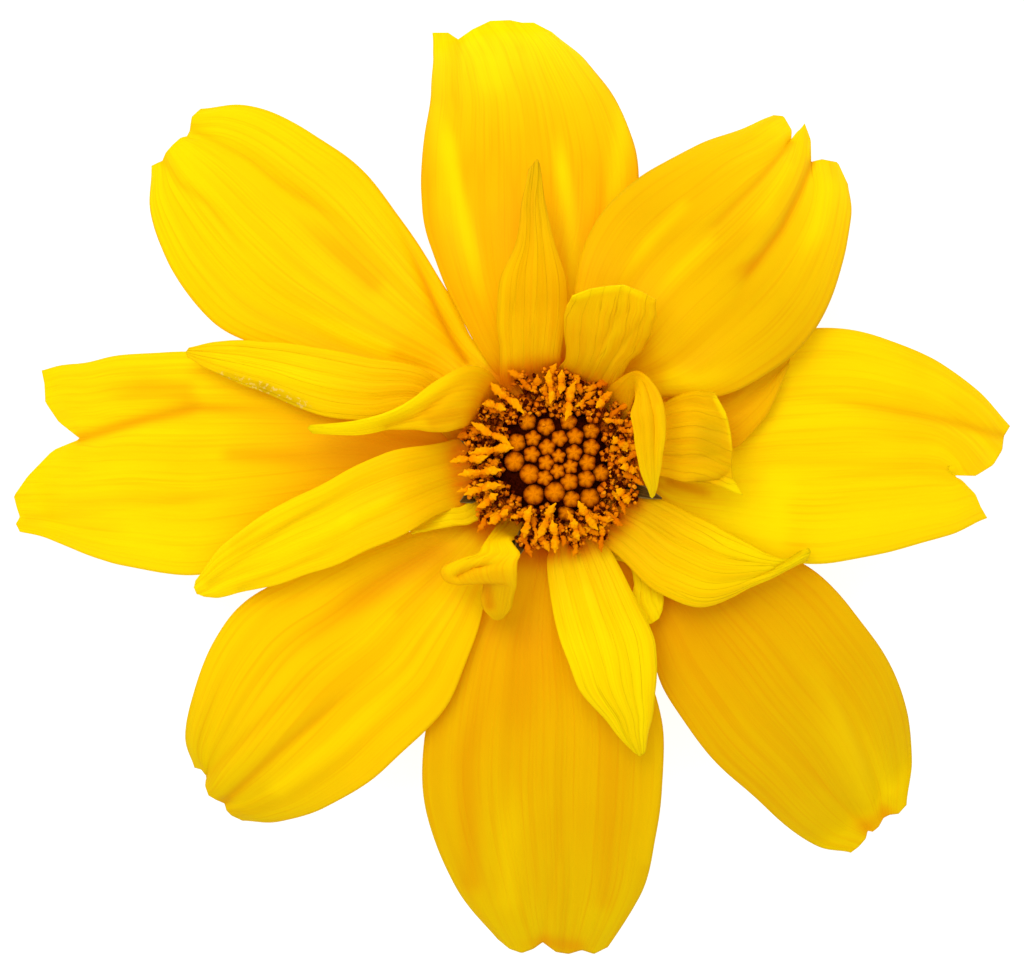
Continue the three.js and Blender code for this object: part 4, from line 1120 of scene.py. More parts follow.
def bud_skin():
    """Orange on the lobes, with painted shade in the creases between them and towards the foot,
    where a bud turns away from the light.
    """
    recipe = Recipe("bud_skin")
    _, lobe, height = recipe.own_map("star")
    grain = recipe.grit(0.00012, 2.0)
    # Darker towards the foot: painted shade, as on a ball lit from above.
    colour = recipe.ramp(height, [
        (0.44, paint(36, 6, 0)), (0.62, paint(100, 33, 0)), (0.78, paint(174, 79, 0)),
        (0.97, paint(218, 121, 0)),
    ])
    outward = recipe.spread(height, 0.8, 0.98, 1.0, 0.1)
    # The creases between the lobes get painted shade, most of it towards the edge.
    crease = recipe.sum("MULTIPLY", recipe.spread(lobe, 0.0, 0.5, 0.7, 0.0), outward)
    colour = recipe.blend(crease, colour, paint(110, 34, 0))
    colour = recipe.blend(recipe.spread(grain, 0.5, 0.8, 0.0, 0.3), colour, paint(236, 146, 12))
    return recipe.surface(colour, 0.6, grain, 0.00003, shine=0.0)


bm = bmesh.new()
star_map = bm.loops.layers.uv.new("star")
draw = random.Random(7)
for x, y, radius in BUDS:
    made = bmesh.ops.create_uvsphere(
        bm, u_segments=BUD_SEGMENTS, v_segments=BUD_RINGS, radius=1.0)["verts"]
    twist = draw.uniform(0, math.pi)
    starry = 1 - ease(radius, YOUNG_RADIUS, OLD_RADIUS)
    looks = {}
    for vert in made:
        turn = math.atan2(vert.co.y, vert.co.x)
        flat = math.hypot(vert.co.x, vert.co.y)
        lobe = 0.5 + 0.5 * math.cos(LOBES * turn)
        height = (vert.co.z + 1) / 2
        pull = 1 - (0.04 + 0.2 * starry) * (1 - lobe) * ease(flat, 0.1, 0.6)
        dimple = 0.13 * (1 - lobe) * ease(vert.co.z, 0.2, 0.9) * ease(flat, 0.02, 0.3)
        looks[vert] = (lobe, height)
        drawn = BUD_TOP if vert.co.z > 0 else BUD_FOOT
        vert.co = Vector((vert.co.x * pull, vert.co.y * pull, vert.co.z * drawn - dimple))
    for face in {face for vert in made for face in vert.link_faces}:
        for loop in face.loops:
            loop[star_map].uv = looks[loop.vert]
    bmesh.ops.scale(bm, vec=[radius * BUD_SWELL] * 3, verts=made)
    bmesh.ops.rotate(bm, matrix=Matrix.Rotation(twist, 3, "Z"), verts=made)
    bmesh.ops.translate(bm, vec=(x, y, dome_height(math.hypot(x, y)) + radius * 0.2), verts=made)
finish_piece(bm, "closed_buds", bud_skin(), "disc_bud", "disc_buds")
print("closed buds", len(BUDS))

# %% [markdown]
# Under the buds is the dome that they grow from. Seen between them it is dark and rough, because
# bristles and scales fill the gaps, and its near-black is also painted shade for those deep gaps.
# It is a spun profile, which is the natural way to make anything round, and noise roughens its
# skin.

# %% The dark ground of the disc


def spun(profile, steps, ring=False):
    """A closed turned shape of (radius, height) pairs that start and end on the axis. The pairs of
    a ring go round to the first one instead."""
    bm = bmesh.new()
    line = [bm.verts.new((radius, 0, height)) for radius, height in profile]
    following = line[1:] + line[:1] if ring else line[1:]
    edges = [bm.edges.new(pair) for pair in zip(line, following)]
    bmesh.ops.spin(bm, geom=line + edges, cent=(0, 0, 0), axis=(0, 0, 1), angle=2 * math.pi,
                   steps=steps, use_merge=True)
    bmesh.ops.remove_doubles(bm, verts=bm.verts, dist=1e-5)
    bmesh.ops.recalc_face_normals(bm, faces=bm.faces)
    return bm


def ground_skin():
    recipe = Recipe("disc_ground_skin")
    grain = recipe.grit(0.00015, 4.0)
    # Near-black to dark maroon: the bristles' own colour with painted shade of the gaps.
    colour = recipe.ramp(grain, [(0.3, paint(26, 3, 0)), (0.75, paint(66, 15, 1))])
    return recipe.surface(colour, 0.8, grain, 0.0001, shine=0.0)


GROUND_FOOT = 6.9
GROUND_NECK = 2.6  # the radius of the neck that the dome stands on
dome_radii = [DOME_RADIUS * share for share in (1.0, 0.8, 0.6, 0.4, 0.2)]
ground_foot = [(0, GROUND_FOOT), (GROUND_NECK, GROUND_FOOT), (GROUND_NECK, 8.5), (DOME_RADIUS, 9.1)]
ground_top = [(radius, dome_height(radius)) for radius in dome_radii] + [(0, DOME_TOP)]
bm = spun(ground_foot + ground_top, steps=48)
finish_piece(bm, "disc_ground", ground_skin(), "disc_bud", "disc_buds")
print("disc ground", GROUND_FOOT, "to", DOME_TOP)

# %% [markdown]
# Round the dome, bristles and the florets' own tubes fill the head right up, so no light passes
# between them. A low rough collar stands for that mass. It is turned like the dome, sunk where a
# petal's neck comes through, and noise makes its top uneven.

# %% The bed of the florets
RING_GAP_MIDDLE = -122  # the petal's direction, and half the gap that it needs, in degrees
RING_GAP_HALF = 9
BED_GAP_START = 3.3  # how far out the bed is sunk there
BED_GAP_DEPTH = 0.9
BED_TOP_START = 8.6  # all above this height is the bed's top
BED_ROUGHNESS = 0.22
BED_PROFILE = [
    (2.6, 8.4), (2.6, 9.35), (2.9, 9.5), (3.2, 9.45), (3.5, 9.4), (3.8, 9.3), (4.0, 9.1),
    (4.1, 8.8), (4.0, 8.5),
]


def in_ring_gap(x, y):
    turn = math.degrees(math.atan2(y, x)) - RING_GAP_MIDDLE
    return abs((turn + 180) % 360 - 180) < RING_GAP_HALF


bm = spun(BED_PROFILE, steps=120, ring=True)
for vert in bm.verts:
    rough = noise.noise(vert.co * 3.5)
    vert.co.x *= 1 + 0.05 * rough
    vert.co.y *= 1 + 0.05 * rough
    if vert.co.z > BED_TOP_START:
        reach = math.hypot(vert.co.x, vert.co.y)
        in_gap = in_ring_gap(vert.co.x, vert.co.y) and reach > BED_GAP_START
        sunk = BED_GAP_DEPTH if in_gap else 0.0
        vert.co.z += BED_ROUGHNESS * noise.noise(vert.co * 5) - sunk
bed = Recipe("floret_bed_skin")
grain = bed.grit(0.00022, 4.0)
bed_colour = bed.ramp(grain, [
    (0.34, paint(64, 14, 0)), (0.48, paint(146, 54, 0)), (0.6, paint(214, 100, 2)),
])
bed_skin = bed.surface(bed_colour, 0.85, grain, 0.0002, shine=0.0)
finish_piece(bm, "floret_bed", bed_skin, "disc_floret", "disc_open_florets")
print("floret bed", BED_PROFILE[0][0], "to", BED_PROFILE[-2][0])

# %% [markdown]
# Round the buds stand the open florets. Each is a small orange funnel with five lobes that curl
# out, and a dark column of anthers stands in it. Both are tubes: a ring of edges that is extruded
# and sized again and again along a profile.

# %% Tubes


def merge(into, small):
    """Adds a small mesh to the piece that it is part of. Work on a small mesh is quick."""
    passed = bpy.data.meshes.new("passed_on")
    small.to_mesh(passed)
    small.free()
    into.from_mesh(passed)
    bpy.data.meshes.remove(passed)


def tube(profile, sides):
    """A closed tube up +Z through (height, radius, lobe) rings. lobe pulls a ring into five lobes.
    Its map holds the share of the way up the profile, and how much a point is on a lobe."""
    bm = bmesh.new()
    rise = bm.loops.layers.uv.new("rise")
    made = bmesh.ops.create_circle(bm, cap_ends=True, segments=sides, radius=profile[0][1])["verts"]
    bmesh.ops.translate(bm, vec=(0, 0, profile[0][0]), verts=made)
    whole = {vert: 0.0 for vert in made}
    face = made[0].link_faces[0]
    face.normal_update()
    if face.normal.z > 0:
        bmesh.ops.reverse_faces(bm, faces=[face])
    edges = list(face.edges)
    for number, (height, wider, lobe) in enumerate(profile[1:], 1):
        out = bmesh.ops.extrude_edge_only(bm, edges=edges)["geom"]
        edges = [part for part in out if isinstance(part, bmesh.types.BMEdge)]
        for vert in (part for part in out if isinstance(part, bmesh.types.BMVert)):
            turn = math.atan2(vert.co.y, vert.co.x)
            cut = 1 - lobe * (0.5 - 0.5 * math.cos(LOBES * turn))
            vert.co = Vector((wider * cut * math.cos(turn), wider * cut * math.sin(turn), height))
            whole[vert] = number / (len(profile) - 1)
    bmesh.ops.contextual_create(bm, geom=edges)
    for vert, share in whole.items():
        lobe = 0.5 + 0.5 * math.cos(LOBES * math.atan2(vert.co.y, vert.co.x))
        for loop in vert.link_loops:
            loop[rise].uv = (share, lobe)
    return bm


# Rings of (height, radius, lobe), in millimetres, for a floret of full size.
FUNNEL = [
    (-0.5, 0.12, 0), (0.1, 0.15, 0), (0.45, 0.24, 0), (0.62, 0.32, 0.1), (0.70, 0.44, 0.3),
    (0.66, 0.56, 0.55), (0.58, 0.60, 0.65), (0.56, 0.52, 0.65), (0.6, 0.34, 0.4), (0.5, 0.18, 0),
]
HALF_OPEN = [
    (-0.6, 0.12, 0), (0.1, 0.26, 0), (0.4, 0.42, 0.1), (0.62, 0.48, 0.3), (0.78, 0.44, 0.45),
    (0.86, 0.32, 0.55), (0.84, 0.2, 0.6), (0.7, 0.1, 0.3), (0.6, 0.06, 0),
]
COLUMN = [(0.3, 0.12, 0), (0.6, 0.17, 0), (0.85, 0.19, 0), (0.98, 0.17, 0.4), (0.9, 0.06, 0)]
print("rings", len(FUNNEL), "in a funnel", len(HALF_OPEN), "in a half-open one")

# %% [markdown]
# Everything in the ring wears one kind of skin: a few paints up its length, grains of a lighter
# one, as down or pollen, and painted shade that the map's second number brings in. In a funnel that
# number is high on the lobes, so the shade falls between them, and in an arm of a style it is how
# much the arm lies in shade.

# %% The florets' skin
FLORET_GRAIN = 0.00018  # in metres


def floret_skin(name, stops, light, shade=None, shading=(0.1, 0.9)):
    """One of the florets' own colours. stops run up the tube, light is its down or pollen, and
    shade is the colour of its painted shade, where the map's second number has gone from shading's
    first value to its second."""
    recipe = Recipe(name)
    _, up, second = recipe.own_map("rise")
    grain = recipe.grit(FLORET_GRAIN, 3.0)
    colour = recipe.ramp(up, stops)
    colour = recipe.blend(recipe.spread(grain, 0.48, 0.72, 0.0, 0.55), colour, light)
    if shade:
        colour = recipe.blend(recipe.spread(second, *shading, 0.0, 0.85), colour, shade)
    return recipe.surface(colour, 0.75, grain, 0.00004, 0.15, colour, shine=0.0)


print("grains of", round(FLORET_GRAIN / MM, 2), "mm")

# %% [markdown]
# The half-open florets beside the buds are placed one by one. The open ones stand on a spiral that
# turns by the golden angle from one to the next, which packs them evenly, wherever they have room
# beside a half-open one and no petal comes through.

# %% Where the florets stand
FLORET_STEP = 0.455
GOLDEN_ANGLE = math.radians(137.508)
SPIRAL_START = math.radians(62.4)
SPIRAL_MIDDLE = Vector((0.21, -0.02, 0))
FIRST_FLORET, LAST_FLORET = 24, 99
# The half-open florets stand where the buds' edge leaves them room.
HALF_OPEN_PLACES = [
    (-0.55, 2.55), (0.28, 2.42), (1.40, 2.62), (2.10, 2.28), (2.88, 1.15), (2.82, 0.28),
    (3.25, -0.35), (2.80, -1.48), (2.68, -2.40), (1.70, -2.72), (-0.10, -2.50), (-1.00, -2.62),
    (-1.72, -2.15), (-2.32, -1.50), (-2.62, -0.45), (-2.52, 0.45), (-2.38, 1.35), (-1.95, 2.05),
    (-1.30, 2.72),
]
OPEN_REACH = 2.95  # the open florets stand further out than this
FLORET_GAP_START = 3.45  # beyond this none stands where the petal comes through
ROOM = 0.42  # that an open floret keeps from a half-open one


def spiral_place(step):
    turn = SPIRAL_START + step * GOLDEN_ANGLE
    reach = FLORET_STEP * math.sqrt(step + 0.5)
    return SPIRAL_MIDDLE + Vector((reach * math.cos(turn), reach * math.sin(turn), 0))


places = [(Vector((x, y, 0)), True) for x, y in HALF_OPEN_PLACES]
for step in range(FIRST_FLORET, LAST_FLORET):
    place = spiral_place(step)
    crowded = any((place - other).length < ROOM for other, young in places if young)
    over_petal = place.length > FLORET_GAP_START and in_ring_gap(place.x, place.y)
    if place.length > OPEN_REACH and not crowded and not over_petal:
        places.append((place, False))
print("florets", len(places), "half open", len(HALF_OPEN_PLACES))

# %% [markdown]
# Each floret's tube stands on a root nearer the middle, and the further out it stands, the more it
# leans over the petals and the lower its mouth is. Chance turns and sizes it a little. The numbers
# of the chances come from one seed, so that every run makes the same flower.

# %% The open florets
FUNNEL_SIDES, COLUMN_SIDES = 20, 10
ROOT_DEPTH = 0.7
MOUTH_HEIGHT, MOUTH_FALL, FALL_START = 10.15, 0.28, 3.2
UPRIGHT_REACH, LEAN_RATE = 2.9, 0.5
HALF_OPEN_SIZE, OPEN_SIZE = 0.86, 0.92
YOUNG_COLUMN = 0.8


def set_floret(into, profile, sides, mouth, lean, azimuth, size, twist):
    """A tube whose mouth is at a (reach, height), on a root that stands nearer the middle."""
    small = tube(profile, sides)
    reach, height = mouth
    depth = ROOT_DEPTH * size
    root = Vector((reach - depth * math.sin(lean), 0, height - depth * math.cos(lean)))
    rooted = Matrix.Rotation(azimuth, 4, "Z") @ Matrix.Translation(root)
    leaning = rooted @ Matrix.Rotation(lean, 4, "Y") @ Matrix.Scale(size, 4)
    twisted = leaning @ Matrix.Rotation(twist, 4, "Z")
    bmesh.ops.transform(small, matrix=twisted, verts=small.verts)
    merge(into, small)


draw = random.Random(11)
corollas, anthers, styles, pollen, crumbs = (bmesh.new() for _ in range(5))
for part in (corollas, anthers, styles, pollen, crumbs):
    part.loops.layers.uv.new("rise")
mouths = []
for place, young in places:
    reach = place.length
    azimuth = math.atan2(place.y, place.x) + draw.uniform(-0.03, 0.03)
    height = MOUTH_HEIGHT - MOUTH_FALL * max(0.0, reach - FALL_START) + draw.uniform(-0.12, 0.12)
    lean = (reach - UPRIGHT_REACH) * LEAN_RATE + draw.uniform(-0.15, 0.15)
    size = (HALF_OPEN_SIZE if young else OPEN_SIZE) * draw.uniform(0.9, 1.12)
    twist = draw.uniform(0, math.pi)
    corolla, column_size = (HALF_OPEN, size * YOUNG_COLUMN) if young else (FUNNEL, size)
    mouth = (reach, height)
    set_floret(corollas, corolla, FUNNEL_SIDES, mouth, lean, azimuth, size, twist)
    set_floret(anthers, COLUMN, COLUMN_SIDES, mouth, lean, azimuth, column_size, twist)
    mouths.append((Vector((reach * math.cos(azimuth), reach * math.sin(azimuth), height)), young))
# The corollas' shade paint is painted shade in the creases between their lobes.
corolla_paint = floret_skin(
    "corolla_skin", [
        (0.0, paint(96, 22, 0)), (0.3, paint(176, 70, 0)), (0.55, paint(226, 112, 4)),
        (0.8, paint(232, 120, 4)),
    ], paint(244, 146, 14), paint(104, 30, 0), (0.5, 0.0))
finish_piece(corollas, "open_corollas", corolla_paint, "disc_floret", "disc_open_florets")
anther_paint = floret_skin(
    "anther_skin", [(0.0, paint(60, 10, 0)), (0.5, paint(84, 20, 0)), (1.0, paint(54, 8, 0))],
    paint(150, 56, 0))
finish_piece(anthers, "anther_columns", anther_paint, "disc_floret", "disc_open_florets")
print("florets stand", len(mouths))

# %% [markdown]
# A ripe floret's style splits into two arms that bend flat, away from each other. An arm is broad
# in its middle, pointed at its end, and so thick with down that its margins look torn. It is a
# tube pressed flat, each point of which is pushed in or out by chance.

# %% The arms of the styles
ARM_RINGS = 18
ARM_SIDES = 10
ARM_FLATNESS = 0.6
ARM_RISE = 0.32  # how far above a floret's mouth its arms spread
TEAR = 7.0  # tears to the millimetre, or nearly
BARE_SHARE = 0.15  # so many of the open florets show no arms


def torn_arm(foot, tip, half_width, arch, shaded):
    """One arm from its foot to its tip, in millimetres. shaded is how much painted shade it has,
    from 0 to 1.
    """
    length = (tip - foot).length
    profile = []
    for ring in range(ARM_RINGS + 1):
        share = ring / ARM_RINGS
        wide = (0.6 + 0.4 * ease(share, 0.0, 0.25) - 0.62 * ease(share, 0.62, 0.88)
                - 0.2 * ease(share, 0.88, 1.0))
        profile.append((length * share, half_width * wide * draw.uniform(0.92, 1.08), 0))
    small = tube(profile, ARM_SIDES)
    rise = small.loops.layers.uv["rise"]
    for face in small.faces:
        for loop in face.loops:
            loop[rise].uv.y = shaded
    sway = draw.uniform(-0.09, 0.09)
    own_place = Vector((0, 0, draw.uniform(0, 99)))
    for vert in small.verts:
        share = vert.co.z / length
        torn = 1 + 0.75 * noise.noise(vert.co * TEAR + own_place) + draw.uniform(-0.08, 0.08)
        ragged = torn if 0.04 < share < 0.85 else 1.0
        vert.co = Vector((vert.co.x * ragged, vert.co.y * ARM_FLATNESS * ragged, vert.co.z))
        vert.co.x += sway * math.sin(share * math.pi)
        vert.co.y += arch * math.sin(share * math.pi)
    turned = (tip - foot).to_track_quat("Z", "Y").to_matrix().to_4x4()
    bmesh.ops.transform(small, matrix=Matrix.Translation(foot) @ turned, verts=small.verts)
    merge(styles, small)


bare = 0
for mouth, young in mouths:
    if young or draw.random() < BARE_SHARE:
        bare += 1
        continue
    outward = math.atan2(mouth.y, mouth.x) + draw.uniform(-0.6, 0.6)
    length = draw.uniform(0.5, 0.85)
    middle = mouth + Vector((0, 0, ARM_RISE + draw.uniform(-0.06, 0.1)))
    for side in (1, -1):
        bend = outward + draw.uniform(-0.35, 0.35)
        way = Vector((math.cos(bend), math.sin(bend), 0)) * side
        tip = middle + way * length + Vector((0, 0, draw.uniform(-0.3, 0.05)))
        torn_arm(middle, tip, draw.uniform(0.12, 0.18), 0.05, draw.random() ** 0.8)
print("florets with arms", len(mouths) - bare, "without", bare)

# %% [markdown]
# The oldest florets, most of them on the left and at the bottom, have the longest arms, which the
# eye finds first. Those are placed one by one: each pair runs from one place in the plan to
# another, and its two arms meet near the middle of that line.

# %% The long styles
LONG_STYLES = [
    ((-1.95, 0.70), (-3.95, 1.90)), ((-1.80, 0.60), (-4.05, 0.30)),
    ((-3.10, 0.20), (-5.00, -0.10)), ((-2.40, -0.50), (-4.60, -0.75)),
    ((-2.45, -1.25), (-4.30, -1.75)), ((-2.60, -1.70), (-3.65, -2.35)),
    ((-1.30, 2.30), (-3.00, 3.90)), ((-2.20, 2.50), (-3.40, 2.80)),
    ((0.75, 1.95), (1.30, 3.95)), ((0.00, 2.80), (-0.05, 4.50)),
    ((0.50, 3.30), (0.60, 4.50)), ((3.15, 1.20), (3.85, 0.40)),
    ((3.30, -1.45), (3.90, -2.20)), ((0.30, -2.15), (-0.60, -3.90)),
    ((1.40, -2.05), (2.40, -3.50)), ((0.10, -3.00), (0.25, -4.65)),
    ((1.20, -2.95), (1.45, -4.00)), ((-0.95, -2.30), (-1.30, -3.90)),
    ((-2.10, -2.45), (-3.05, -3.20)), ((2.30, 2.60), (3.10, 3.40)),
    ((3.50, -0.40), (4.30, -0.60)),
]
LONG_ARM_HEIGHT = 10.8
LONG_ARM_FALL = 0.3
LONG_ARM_MIDDLE = 0.48
for inner_end, outer_end in LONG_STYLES:
    start = Vector((*inner_end, LONG_ARM_HEIGHT))
    end = Vector((*outer_end, LONG_ARM_HEIGHT - LONG_ARM_FALL))
    astray = Vector((draw.uniform(-0.08, 0.08), draw.uniform(-0.08, 0.08), 0.05))
    middle = start.lerp(end, LONG_ARM_MIDDLE) + astray
    for tip in (start, end):
        torn_arm(middle, tip, draw.uniform(0.17, 0.2), 0.03, 0.25 * draw.random())
# The style's shade paint is painted shade on the arms that lie in shadow.
style_paint = floret_skin(
    "style_skin", [(0.0, paint(238, 128, 0)), (0.4, paint(250, 156, 0)), (1.0, paint(255, 172, 0))],
    paint(255, 194, 10), paint(222, 110, 0))
finish_piece(styles, "downy_styles", style_paint, "disc_floret", "disc_open_florets")
print("long styles", len(LONG_STYLES))

# %% [markdown]
# Broken anthers and pollen lie all over the ring as dark and bright crumbs. Each is a ball of
# twenty faces with its corners pushed about, which is enough for something a tenth of a millimetre
# wide.

# %% Anther crumbs and pollen
CRUMB_REACH = 4.3
POLLEN_REACH = 4.75  # the bright grains lie further out on the petals than the dark crumbs
SPREAD = 0.23


def strew(into, mouth, count, reach, rise, sizes):
    """Crumbs about a floret's mouth, none of them further out than reach."""
    small = bmesh.new()
    small.loops.layers.uv.new("rise")
    for _ in range(count):
        place = mouth + Vector((draw.gauss(0, SPREAD), draw.gauss(0, SPREAD), draw.uniform(*rise)))
        if math.hypot(place.x, place.y) > reach:
            continue
        radius = draw.uniform(*sizes)
        made = bmesh.ops.create_icosphere(small, subdivisions=1, radius=radius)["verts"]
        for vert in made:
            vert.co *= draw.uniform(0.5, 1.6)
        bmesh.ops.translate(small, vec=place, verts=made)
    merge(into, small)


for mouth, young in mouths:
    outer = ease(math.hypot(mouth.x, mouth.y), 3.2, 4.2)
    dark = 4 if young else round(7 - 5 * outer)
    bright = 3 if young else round(6 + 4 * outer)
    strew(crumbs, mouth, dark, CRUMB_REACH, (0.0, 0.36), (0.06, 0.12))
    strew(pollen, mouth, bright, POLLEN_REACH, (0.05, 0.4), (0.06, 0.13))
crumb_paint = floret_skin(
    "crumb_skin", [(0.0, paint(70, 12, 0)), (1.0, paint(96, 26, 0))], paint(150, 58, 0))
finish_piece(crumbs, "anther_crumbs", crumb_paint, "disc_floret", "disc_open_florets")
pollen_paint = floret_skin(
    "pollen_skin", [(0.0, paint(240, 136, 4)), (1.0, paint(246, 150, 8))], paint(255, 184, 30))
finish_piece(pollen, "pollen_grains", pollen_paint, "disc_floret", "disc_open_florets")
print("crumbs strewn over", len(mouths), "florets")

# %% [markdown]
# Below the petals the head is green. Inner bracts overlap into a cup, narrow outer bracts spread
# from a collar under it, and the stem ends in a clean cut. A bract is made like a petal, on a
# grid, from a side view of its middle line and a list of half widths. Solidify gives it a body.

# %% Bracts
BRACTS = 8  # in each of the two rounds
BRACT_GRID = (26, 12)
MIDRIB, MIDRIB_HALF = 0.05, 0.12


def leaf_skin(name, dark, light, margin):
    """Green skin with fine nerves, a light midrib and a pale margin."""
    recipe = Recipe(name)
    leaf_map, across, _ = recipe.own_map("petal")
    cells = recipe.grit(0.0003, 4.0)
    nerve = recipe.grain(leaf_map, (0.06, 1.2, 1.0), 2.0)
    colour = recipe.blend(recipe.spread(nerve, 0.4, 0.65), dark, light)
    colour = recipe.blend(recipe.spread(cells, 0.5, 0.8, 0.0, 0.4), colour, light)
    from_middle = recipe.sum("ABSOLUTE", recipe.sum("SUBTRACT", across, 0.5))
    colour = recipe.blend(recipe.spread(from_middle, 0.03, 0.07, 0.5, 0.0), colour, light)
    colour = recipe.blend(recipe.spread(from_middle, 0.40, 0.49, 0.0, 0.8), colour, margin)
    relief = recipe.sum("MULTIPLY_ADD", cells, 0.4, nerve)
    return recipe.surface(colour, 0.6, relief, 0.00005, 0.15, light, shine=0.08)


def bract_on(bm, angle, course, widths, crease):
    """Adds one bract: course is [(radius, height)] along its middle, widths its half widths."""
    middle = [Vector((radius, 0, height)) for radius, height in course]
    spread_of = [Vector((half, 0, 0)) for half in widths]
    rows, columns = BRACT_GRID
    made = bmesh.ops.create_grid(bm, x_segments=rows, y_segments=columns, size=0.5)["verts"]
    skin_map = bm.loops.layers.uv.verify()
    for face in {face for vert in made for face in vert.link_faces}:
        for loop in face.loops:
            loop[skin_map].uv = (0.5 - loop.vert.co.y, loop.vert.co.x + 0.5)
    for vert in made:
        u, v = vert.co.x + 0.5, 0.5 - vert.co.y
        point = through(middle, u)
        half = through(spread_of, u).x
        off = 2 * v - 1
        point.y = -off * half
        point.z += crease * (off * off) * half - MIDRIB * math.exp(-(off / MIDRIB_HALF) ** 2)
        vert.co = point
    bmesh.ops.rotate(bm, matrix=Matrix.Rotation(angle, 3, "Z"), verts=made)


def bract_piece(name, node, bracts, leaf, thick):
    """Makes one piece of the bracts, each of which is what bract_on takes after its first value."""
    bm = bmesh.new()
    bm.loops.layers.uv.new("petal")
    for bract in bracts:
        bract_on(bm, *bract)
    piece = finish_piece(bm, name, leaf, "bract", node)
    wall = piece.modifiers.new("leaf_body", "SOLIDIFY")
    wall.thickness = thick * MM
    wall.offset = 0.0


print("a bract's rows and columns", BRACT_GRID)

# %% [markdown]
# The outer bracts spread like a wheel from a turned collar on top of the stem. Every second one
# droops, and each has a crease along its middle, as narrow leaves do.

# %% Outer bracts and their collar
COLLAR_BOTTOM, COLLAR_TOP, COLLAR_RADIUS = 2.3, 2.9, 1.35
OUTER_DROOP = 0.35
OUTER_WIDTHS = (0.42, 0.52, 0.58, 0.03)
OUTER_CREASE = 0.25
OUTER_THICK = 0.3
outer_bracts = []
for step in range(BRACTS):
    droop = 0 if step % 2 == 0 else OUTER_DROOP
    course = [(0.9, 2.62), (2.6, 2.75 - droop), (4.6, 3.1 - droop), (6.4, 3.2 - 2 * droop)]
    outer_bracts.append(((step + 0.25) * math.pi / 4, course, OUTER_WIDTHS, OUTER_CREASE))
outer_leaf = leaf_skin(
    "outer_bract_skin", paint(62, 84, 22), paint(104, 130, 44), paint(140, 148, 70))
bract_piece("outer_bract_blades", "outer_bracts", outer_bracts, outer_leaf, OUTER_THICK)

plain_green = Recipe("collar_skin")
cells = plain_green.grain(plain_green.place(), (0.0004, 0.0004, 0.0012), 4.0)
collar_colour = plain_green.blend(
    plain_green.spread(cells, 0.35, 0.7), paint(78, 96, 40), paint(128, 146, 70))
collar_skin = plain_green.surface(collar_colour, 0.6, cells, 0.00006)
bm = spun([
    (0, COLLAR_BOTTOM), (1.05, COLLAR_BOTTOM), (COLLAR_RADIUS, COLLAR_BOTTOM + 0.15),
    (COLLAR_RADIUS, COLLAR_TOP - 0.12), (1.15, COLLAR_TOP), (0, COLLAR_TOP),
], steps=40)
finish_piece(bm, "bract_collar", collar_skin, "bract", "outer_bracts")
print("outer bracts", len(outer_bracts))

# %% [markdown]
# The inner bracts stand upright, shoulder to shoulder, in two rounds of four, with thin pale
# margins, and their tips press against the petals from below. They are made for the look from the
# side. The core that they wrap carries on up to the petals' claws.

# %% The cup
CUP_FOOT = 3.2
CUP_RIM = 6.6
BRACT_TIP = 7.5
RECEPTACLE_TOP = 8.3
SECOND_ROUND = 0.16  # how far inside the first round of four the second one stands
CUP_WIDTHS = (0.55, 1.3, 1.55, 1.3, 0.2)
CUP_THICK = 0.24
cup_bracts = []
for step in range(BRACTS):
    inset = 0.0 if step % 2 == 0 else SECOND_ROUND
    course = [
        (1.5 - inset, CUP_FOOT + 0.25), (3.1 - inset, CUP_FOOT + 0.9),
        (3.95 - inset, CUP_FOOT + 2.1), (4.55 - inset, CUP_RIM - 0.1), (6.0 - inset, BRACT_TIP),
    ]
    cup_bracts.append(((step + 0.5) * math.pi / 4, course, CUP_WIDTHS, 0.0))
cup_leaf = leaf_skin(
    "inner_bract_skin", paint(72, 90, 22), paint(122, 138, 44), paint(190, 176, 70))
bract_piece("cup_bracts", "bract_cup", cup_bracts, cup_leaf, CUP_THICK)
bm = spun([
    (0, CUP_FOOT), (1.4, CUP_FOOT), (2.85, CUP_FOOT + 0.85), (3.45, CUP_FOOT + 2.0),
    (3.75, CUP_RIM), (3.7, RECEPTACLE_TOP), (0, RECEPTACLE_TOP),
], steps=48)
finish_piece(bm, "cup_core", collar_skin, "bract", "bract_cup")
print("cup bracts", len(cup_bracts))

# %% [markdown]
# Between the florets' ring and the petals stand a few narrow scales, which are bracts too. Most are
# hidden. Where two petals part beside the ring, the dark end of one shows, so only those are made.

# %% Scales beside the ring
# Each scale is its direction in degrees, then how far out it starts and ends.
SCALES = [(165.5, 3.9, 4.75), (205.0, 3.9, 4.95), (-109.0, 3.5, 5.2), (-19.0, 4.0, 5.9)]
SCALE_HEIGHT = 9.5
SCALE_WIDTHS = (0.3, 0.3, 0.03)
SCALE_CREASE = 0.2
SCALE_THICK = 0.1
scales = []
for azimuth, start, end in SCALES:
    course = [(start, SCALE_HEIGHT - 0.5), ((start + end) / 2, SCALE_HEIGHT), (end, SCALE_HEIGHT)]
    scales.append((math.radians(azimuth), course, SCALE_WIDTHS, SCALE_CREASE))
scale_leaf = leaf_skin("scale_skin", paint(74, 48, 8), paint(116, 84, 22), paint(150, 128, 66))
bract_piece("ring_scales", "bract_cup", scales, scale_leaf, SCALE_THICK)
print("scales", len(scales))

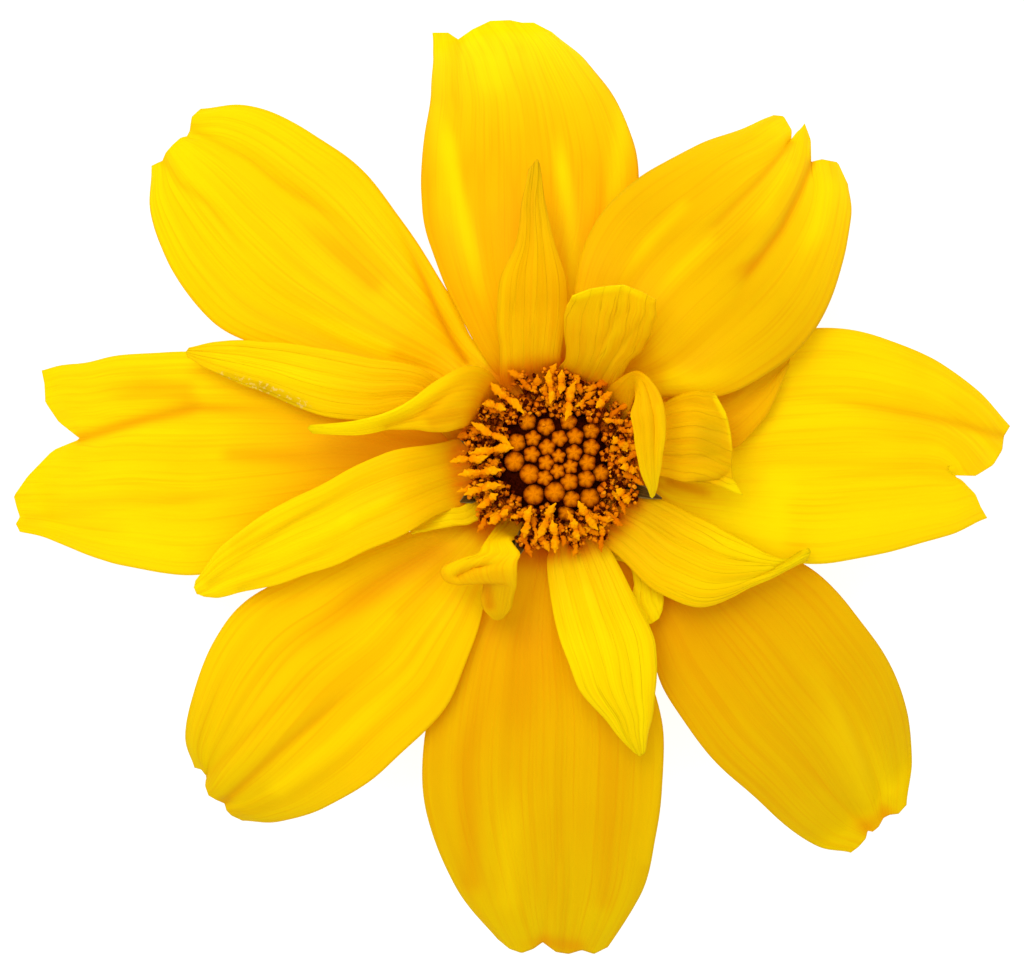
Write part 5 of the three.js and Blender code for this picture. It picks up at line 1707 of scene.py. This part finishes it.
# %% [markdown]
# The stub of stem is a ribbed tube. At the cut its rim of green wood is smooth and its pith is
# pale, so the colour depends on the distance from the stem's own axis.

# %% Stem
STEM_END, STEM_TOP, STEM_RADIUS = 0.7, 2.0, 0.75
STEM_SIDES = 40
STEM_RIBS, RIB_HEIGHT = 8, 0.04
STEM_SHARE = 0.96  # so that its ribs lie in the solid
CUT_RIM, CUT_DEPTH = 0.18, 0.06


def stem_skin():
    recipe = Recipe("stem_skin")
    place = recipe.place()
    centre = recipe.add("ShaderNodeMapping", vector_type="POINT")
    centre.inputs["Location"].default_value = -FLOWER_AXIS
    recipe.join(place, centre.inputs["Vector"])
    x, y = recipe.parts(centre.outputs[0])
    squares = recipe.sum("ADD", recipe.sum("MULTIPLY", x, x), recipe.sum("MULTIPLY", y, y))
    from_axis = recipe.sum("SQRT", squares)
    fibre = recipe.grain(place, (0.00015, 0.00015, 0.0015), 3.0)
    bark = recipe.blend(recipe.spread(fibre, 0.35, 0.7), paint(92, 118, 46), paint(140, 160, 80))
    pith = recipe.spread(from_axis, 0.45 * MM, 0.6 * MM, 1.0, 0.0)
    colour = recipe.blend(pith, bark, paint(214, 218, 168))
    return recipe.surface(colour, 0.5, fibre, 0.00005)


stem_rings = [
    (STEM_END, 0.66), (STEM_END + 0.05, STEM_RADIUS), (1.1, STEM_RADIUS), (1.5, STEM_RADIUS),
    (1.8, 1.0), (STEM_TOP, 1.2),
]
bm = tube([(height, radius, 0) for height, radius in stem_rings], STEM_SIDES)
for vert in bm.verts:
    turn = math.atan2(vert.co.y, vert.co.x)
    rib = 1 + RIB_HEIGHT * math.cos(STEM_RIBS * turn)
    vert.co.x *= rib * STEM_SHARE
    vert.co.y *= rib * STEM_SHARE
end_face = min(bm.faces, key=lambda face: face.calc_center_median().z)
bmesh.ops.inset_region(bm, faces=[end_face], thickness=CUT_RIM, depth=-CUT_DEPTH)
finish_piece(bm, "cut_stem", stem_skin(), "stem", "stem")
print("stem cut at", STEM_END, "mm above the table")
